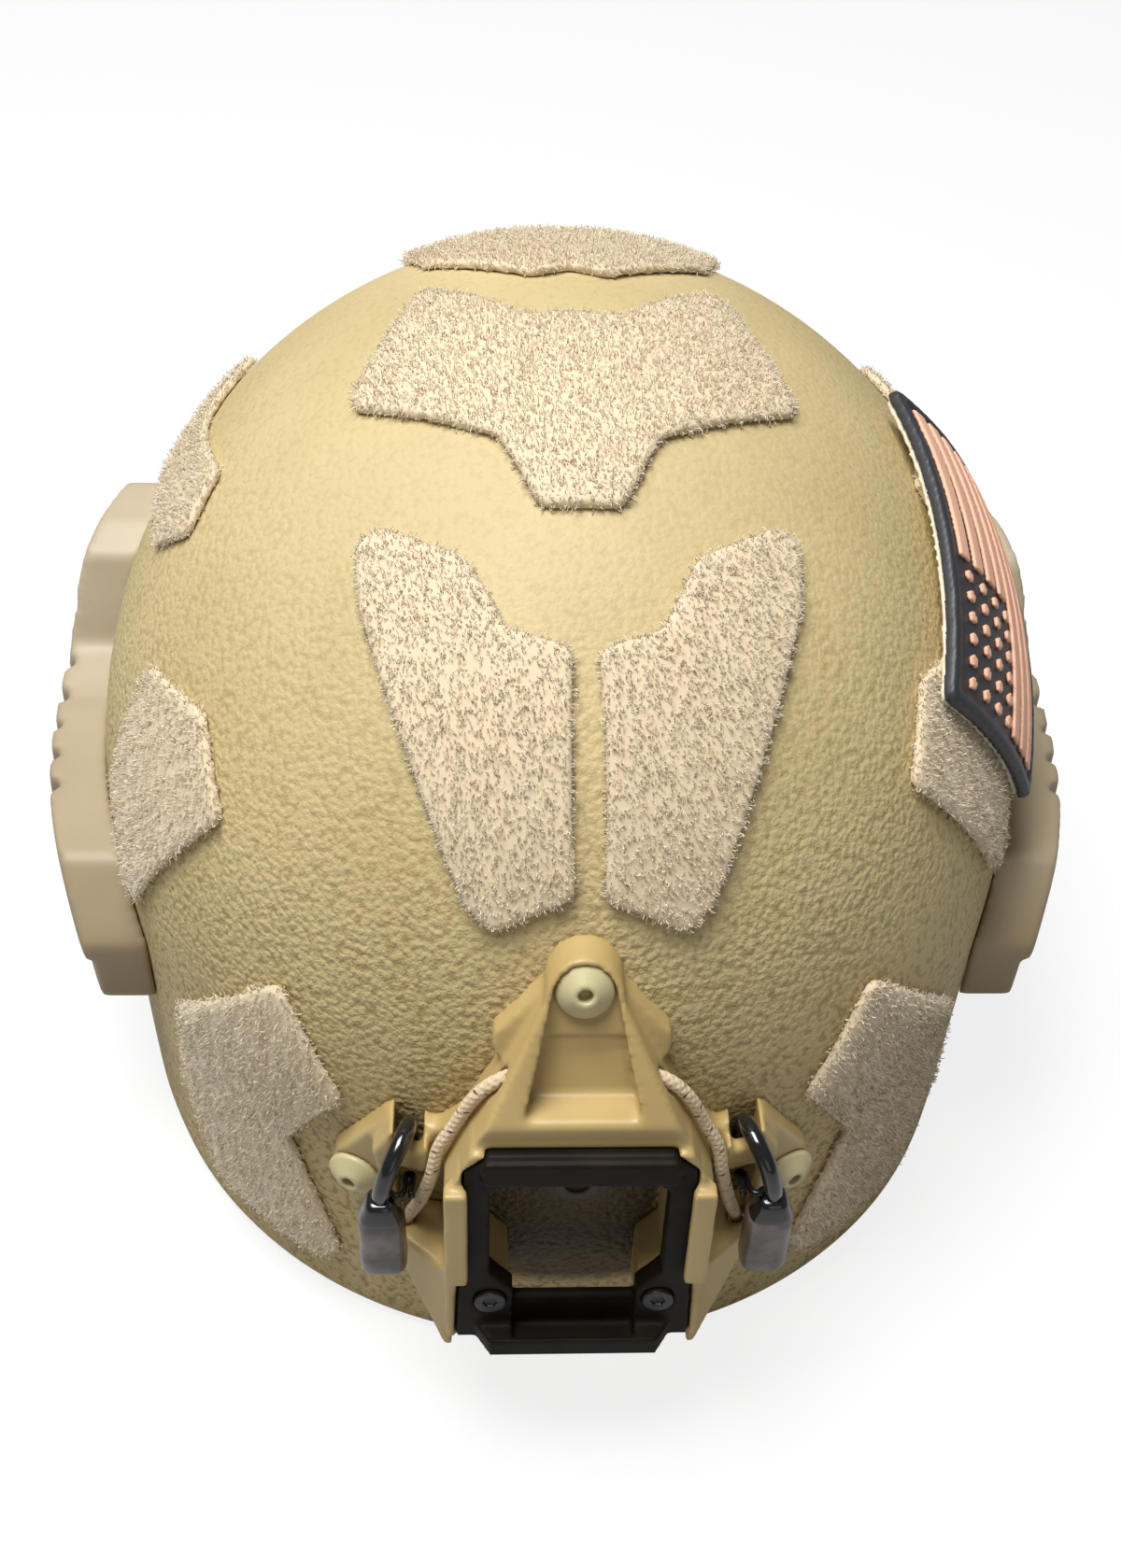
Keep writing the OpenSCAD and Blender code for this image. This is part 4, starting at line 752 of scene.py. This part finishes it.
strands, braid_pitch, braid_relief = 8, 0.0030, 0.00013
fleck_pitch, fleck_thin, fleck_short = 0.0016, 0.93, 0.3


def braid(length, turn):
    """The cord's radius at a length along it and a turn around it: two sets of crossing strands."""
    phase = 2 * math.pi * length / braid_pitch
    one = math.cos(strands / 2 * (turn + phase / 2))
    two = math.cos(strands / 2 * (turn - phase / 2))
    return cord_radius - braid_relief + braid_relief * max(one, two)


cord_material = new_material("cord_braid", screen(212, 190, 156), roughness=0.78)
tree, where = pattern_space(cord_material)
fleck = tree.nodes.new("ShaderNodeAttribute")
fleck.attribute_name = "fleck"
thread = mix_color(tree, noise_node(tree, where, scale=1500.0, detail=2.0), screen(190, 164, 126),
                   screen(232, 214, 184))
color_with(tree, mix_color(tree, fleck.outputs["Fac"], thread, screen(92, 72, 50)))
bump(tree, noise_node(tree, where, scale=4200.0, detail=2.0), strength=0.5, depth=0.0001)
for side, route in (("right", cord_route), ("left", mirrored(cord_route))):
    path = smooth_route(route, cord_step)
    verts, faces = tube(path, braid, cord_sides)
    piece = mesh_piece(f"cord_braided_{side}", verts, faces, cord_material)
    flecks = piece.data.attributes.new("fleck", "FLOAT", "POINT")
    for i, spot in enumerate(flecks.data):
        ring, j = divmod(i, cord_sides)
        length, turn = ring * cord_step, 2 * math.pi * j / cord_sides
        on_strand = math.cos(turn - math.pi * length / braid_pitch) > fleck_thin
        dark = on_strand and math.cos(2 * math.pi * length / fleck_pitch) > fleck_short
        spot.value = 1.0 if dark else 0.0
    dress(piece, f"cord_{side}")

# Retention hooks
# A thick glossy black wire hook hangs over the bar of each ear, with a thin spring gate inside.
# A crimped cap ends the hook, and a rubber sleeve below it takes a strap from the arm.
hook_radius, gate_radius = 0.0018, 0.0007
ferrule_w, ferrule_d = 0.0095, 0.0080
cap_out, cap_forward, cap_drop = 0.0384, 0.0099, 0.0024
# Level sections, in millimetres: depth below the top or height over the end, half width, half depth.
cap_sections = [(-0.3, 2.0, 2.0), (0.0, 2.5, 2.5), (0.7, 3.0, 2.9), (1.8, 3.3, 3.2), (3.2, 3.9, 3.5),
                (4.2, 4.3, 3.7), (5.4, 4.4, 3.7), (6.2, 4.2, 3.5), (6.5, 3.9, 3.3)]
tip_sections = [(-0.9, 0.6), (-0.6, 1.2), (0.0, 1.7), (0.6, 1.85)]
# The sleeve's sections are shares of its own height and width.
sleeve_sections = [(0.0, 0.80), (0.02, 0.90), (0.05, 0.95), (0.2, 0.97), (0.4, 0.98), (0.6, 0.99),
                   (0.8, 1.0), (0.93, 1.0), (0.98, 0.97), (1.0, 0.90)]
corner_power = 0.62
hook_route = [(38.4, -9.9, -5.7), (38.3, -10.1, -1.5), (37.6, -10, 2.2), (36.4, -8.9, 6), (34.7, -6.1, 8.5),
              (33.4, -2.4, 8.9), (33, 1.2, 6.6), (33, 2.6, 2.9), (33, 2.7, -1.2), (33, 2.4, -4.2),
              (33, 2, -6.8)]
gate_route = [(36.1, -9.9, -1.6), (34.7, -9.8, -1.6), (34, -8.6, -2), (33.9, -6.4, -3.2), (33.9, -3.6, -5),
              (33.8, -2.3, -5.9), (33.1, -1.7, -6.2), (32.4, -2.3, -5.9), (32.3, -3.6, -5), (32.3, -7, -2.6),
              (32.3, -9.9, -1.6)]
hook_material = new_material("hook_black", screen(20, 20, 22), roughness=0.14)
tree = hook_material.node_tree
tree.nodes["Principled BSDF"].inputs["Coat Weight"].default_value = 0.6
tree.nodes["Principled BSDF"].inputs["Coat Roughness"].default_value = 0.06
where = tree.nodes.new("ShaderNodeTexCoord").outputs["Object"]
bump(tree, noise_node(tree, where, scale=500.0, detail=2.0), strength=0.25, depth=0.00012)
roughen_with(tree, ramp(tree, noise_node(tree, where, scale=900.0, detail=3.0), 0.35, 0.75, 0.1, 0.26))
gate_material = new_material("gate_wire", screen(22, 22, 24), roughness=0.22, metallic=0.4)
tree, where = pattern_space(gate_material)
roughen_with(tree, ramp(tree, noise_node(tree, where, scale=1500.0, detail=3.0), 0.3, 0.7, 0.14, 0.3))
sleeve_material = new_material("sleeve_rubber", screen(84, 74, 72), roughness=0.3)
tree, where = pattern_space(sleeve_material)
tree.nodes["Principled BSDF"].inputs["Coat Weight"].default_value = 0.35
tree.nodes["Principled BSDF"].inputs["Coat Roughness"].default_value = 0.15
color_with(tree, mix_color(tree, ramp(tree, noise_node(tree, where, scale=160.0, detail=3.0), 0.35, 0.65),
                           screen(58, 50, 48), screen(110, 98, 94)))
bump(tree, noise_node(tree, where, scale=300.0, detail=2.0), strength=0.3, depth=0.0002)


def loft(sections, sides=40):
    """Points and faces of a closed body through level sections: centre, half width, half depth."""
    verts, faces = [], []
    for cx, cy, cz, w, d in sections:
        for j in range(sides):
            a = 2 * math.pi * j / sides
            c, s = math.cos(a), math.sin(a)
            verts.append((cx + w * math.copysign(abs(c) ** corner_power, c),
                          cy + d * math.copysign(abs(s) ** corner_power, s), cz))
    for i in range(len(sections) - 1):
        for j in range(sides):
            k = (j + 1) % sides
            faces.append((i * sides + j, i * sides + k, (i + 1) * sides + k, (i + 1) * sides + j))
    faces.append(tuple(reversed(range(sides))))
    faces.append(tuple((len(sections) - 1) * sides + j for j in range(sides)))
    return verts, faces


def joined(parts):
    """One set of points and faces from several."""
    verts, faces = [], []
    for more_verts, more_faces in parts:
        faces += [tuple(v + len(verts) for v in face) for face in more_faces]
        verts += list(more_verts)
    return verts, faces


for side, hand in (("right", 1), ("left", -1)):
    hook_path = smooth_route(hook_route if hand > 0 else mirrored(hook_route), 0.0005)
    gate_path = smooth_route(gate_route if hand > 0 else mirrored(gate_route), 0.0004)
    cap_x, cap_y = brow.x + hand * cap_out, brow.y - cap_forward
    cap_top = brow.z - cap_drop
    cap = loft([(cap_x, cap_y, cap_top - h * mm, w * mm, d * mm) for h, w, d in cap_sections])
    tip = hook_path[-1]
    end_cap = loft([(tip.x, tip.y, tip.z + h * mm, r * mm, r * mm) for h, r in tip_sections], 20)
    verts, faces = joined([tube(hook_path, hook_radius, 20), cap, end_cap])
    dress(mesh_piece(f"hook_wire_{side}", verts, faces, hook_material), f"hook_{side}")
    verts, faces = tube(gate_path, gate_radius, 12)
    dress(mesh_piece(f"gate_spring_{side}", verts, faces, gate_material), f"gate_{side}")
    low, high = (Vector(corner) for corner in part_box(f"ferrule_{side}"))
    tall = high.z - low.z
    verts, faces = loft([(cap_x, cap_y, high.z - tall * h, ferrule_w / 2 * w, ferrule_d / 2 * w)
                         for h, w in sleeve_sections])
    dress(mesh_piece(f"sleeve_{side}", verts, faces, sleeve_material), f"ferrule_{side}")

# Flag patch
# A moulded rubber badge with salmon stripes on charcoal, its hook backing pressed on the loops.
# The stripes and stars stand up inside a raised rim, and pale hook fuzz shows at the edge.
flag_rubber_material = new_material("flag_rubber", screen(48, 49, 54), roughness=0.46)
tree, where = pattern_space(flag_rubber_material)
bump(tree, noise_node(tree, where, scale=1800.0, detail=3.0), strength=0.3, depth=0.0001)
color_with(tree, mix_color(tree, noise_node(tree, where, scale=90.0, detail=3.0), screen(42, 43, 48),
                           screen(56, 57, 62)))
flag_print_material = new_material("flag_print", screen(236, 182, 152), roughness=0.55)
tree, where = pattern_space(flag_print_material)
bump(tree, noise_node(tree, where, scale=1500.0, detail=3.0), strength=0.3, depth=0.0001)
color_with(tree, mix_color(tree, noise_node(tree, where, scale=70.0, detail=3.0), screen(230, 174, 144),
                           screen(242, 190, 160)))
fuzz_material = new_material("hook_fabric", screen(226, 216, 192), roughness=0.85)
tree, where = pattern_space(fuzz_material)
bump(tree, noise_node(tree, where, scale=2200.0, detail=2.0), strength=0.6, depth=0.0002)
color_with(tree, mix_color(tree, noise_node(tree, where, scale=900.0, detail=3.0), screen(206, 192, 164),
                           screen(238, 230, 210)))
dress(moulded("flag_backing", "badge_hooks", fuzz_material, cell=0.0009, rounds=1), "flag_backing")
dress(moulded("flag_panel", "badge_panel", flag_rubber_material, cell=0.0007, rounds=2), "flag_panel")
dress(moulded("flag_relief", "badge_relief", flag_print_material, cell=0.00045, rounds=1), "flag_relief")

# Liner pads
# Foam pads in brushed cloth, held inside the shell by hook discs: crown, brow, nape and four sides.
# Each is blown up a little like cushion foam, so its faces crown and its sides draw in.
pad_material = new_material("pad_cover", screen(84, 82, 72), roughness=0.92)
shader = pad_material.node_tree.nodes["Principled BSDF"]
shader.inputs["Sheen Weight"].default_value = 0.3
tree, where = pattern_space(pad_material)
bump(tree, noise_node(tree, where, scale=1700.0, detail=3.0), strength=0.6, depth=0.0003)
color_with(tree, mix_color(tree, noise_node(tree, where, scale=600.0, detail=4.0), screen(66, 64, 55),
                           screen(100, 97, 86)))
pad_cell, pad_inset, pad_swell = 0.0042, 0.0016, 0.0015
pad_pressure, pad_frames = 4.0, 14


def foam_pad(node_name, piece_name):
    """A padded piece in the space of its solid: drawn in, then blown up by a short cloth run."""
    piece = solid_copy(node_name, piece_name)
    recast = piece.modifiers.new("recast", "REMESH")
    recast.mode = "VOXEL"
    recast.voxel_size = pad_cell
    recast.use_smooth_shade = True
    relax = piece.modifiers.new("relax", "SMOOTH")
    relax.factor = 0.5
    relax.iterations = 3
    applied(piece)
    data = piece.data
    count = len(data.vertices)
    normals = np.empty(count * 3, np.float32)
    data.vertex_normals.foreach_get("vector", normals)
    start = np.empty(count * 3, np.float32)
    data.vertices.foreach_get("co", start)
    start = start.reshape(-1, 3) - normals.reshape(-1, 3) * pad_inset
    data.vertices.foreach_set("co", start.ravel())
    data.update()
    cloth = piece.modifiers.new("cloth", "CLOTH")
    cloth.settings.use_pressure = True
    cloth.settings.uniform_pressure_force = pad_pressure
    cloth.settings.effector_weights.gravity = 0
    scene = bpy.context.scene
    for step in range(1, pad_frames + 1):
        scene.frame_set(step)
    graph = bpy.context.evaluated_depsgraph_get()
    blown = np.empty(count * 3, np.float32)
    piece.evaluated_get(graph).data.vertices.foreach_get("co", blown)
    move = blown.reshape(-1, 3) - start
    far = np.linalg.norm(move, axis=1, keepdims=True)
    move *= np.minimum(1.0, pad_swell / np.maximum(far, 1e-9))
    piece.modifiers.clear()
    scene.frame_set(1)
    data.vertices.foreach_set("co", (start + move).ravel())
    data.update()
    finer = piece.modifiers.new("finer", "SUBSURF")
    finer.levels = finer.render_levels = 1
    applied(piece)
    piece.data.materials.clear()
    piece.data.materials.append(pad_material)
    dress(piece, node_name)


for name in ("crown_pad", "front_pad", "rear_pad", "side_pads_left", "side_pads_right", "nape_pad"):
    foam_pad(name, name + "_foam")

disc_material = new_material("disc_fabric", screen(44, 44, 44), roughness=0.9)
tree, where = pattern_space(disc_material)
bump(tree, noise_node(tree, where, scale=2500.0, detail=2.0), strength=0.8, depth=0.0003)
color_with(tree, mix_color(tree, noise_node(tree, where, scale=1200.0, detail=2.0), screen(32, 32, 32),
                           screen(62, 62, 60)))
dress(moulded("hook_discs", "hook_discs_cut", disc_material, cell=0.0011, rounds=1), "hook_discs")

# Dial fit
# A nylon housing at the nape with a ribbed knob, whose pinion draws in two toothed bands.
dial_material = new_material("dial_plastic", screen(52, 52, 49), roughness=0.5)
knob_material = new_material("knob_rubber", screen(40, 40, 40), roughness=0.62)
band_material = new_material("band_plastic", screen(46, 46, 45), roughness=0.48)
for material, fineness, strength in ((dial_material, 1600.0, 0.35), (knob_material, 2200.0, 0.5),
                                     (band_material, 1800.0, 0.3)):
    tree, where = pattern_space(material)
    grain = place_group(tree, grain_group, where, Grains_per_metre=fineness)
    bump(tree, grain.outputs["Height"], strength=strength, depth=0.00012)
    roughen_with(tree, ramp(tree, grain.outputs["Dust"], 0.3, 0.7, 0.42, 0.62))
dress(moulded("dial_housing", "dial_case", dial_material, cell=0.0008, rounds=2), "dial_housing")
dress(moulded("dial_knob", "dial_grip", knob_material, cell=0.0005, rounds=2), "dial_knob")
for side in ("left", "right"):
    band = moulded(f"fit_arm_{side}", f"fit_band_{side}", band_material, cell=0.0006, rounds=1)
    dress(band, f"fit_arm_{side}")

# Chinstrap
# Tan nylon webbing from four shell screws to two adjusters, a moulded cup and a side-release buckle.
web_material = new_material("webbing", screen(168, 147, 106), roughness=0.82)
tree, where = pattern_space(web_material)
wave = tree.nodes.new("ShaderNodeTexWave")
wave.wave_type = "BANDS"
wave.bands_direction = "DIAGONAL"
wave.inputs["Scale"].default_value = 220.0
wave.inputs["Distortion"].default_value = 0.6
tree.links.new(where, wave.inputs["Vector"])
bump(tree, wave.outputs["Fac"], strength=0.6, depth=0.00035)
color_with(tree, mix_color(tree, wave.outputs["Fac"], screen(146, 125, 86), screen(184, 163, 122)))
for name in ("front_strap_left", "front_strap_right", "rear_strap_left", "rear_strap_right", "chin_straps"):
    dress(moulded(name, name + "_web", web_material, cell=0.0007, rounds=2), name)

cup_material = new_material("cup_rubber", screen(54, 54, 52), roughness=0.6)
buckle_material = new_material("buckle_plastic", screen(44, 44, 44), roughness=0.42)
for material, fineness, strength in ((cup_material, 1400.0, 0.4), (buckle_material, 2200.0, 0.25)):
    tree, where = pattern_space(material)
    grain = place_group(tree, grain_group, where, Grains_per_metre=fineness)
    bump(tree, grain.outputs["Height"], strength=strength, depth=0.00012)
    roughen_with(tree, ramp(tree, grain.outputs["Dust"], 0.3, 0.7, 0.38, 0.6))
dress(moulded("chin_cup", "chin_cup_moulded", cup_material, cell=0.0008, rounds=3), "chin_cup")
for name in ("strap_adjusters", "buckle_female", "buckle_male", "prong_front", "prong_rear"):
    dress(moulded(name, name + "_moulded", buckle_material, cell=0.0005, rounds=2), name)

for shape in list(loop_shapes.objects):
    bpy.data.objects.remove(shape)
bpy.data.collections.remove(loop_shapes)
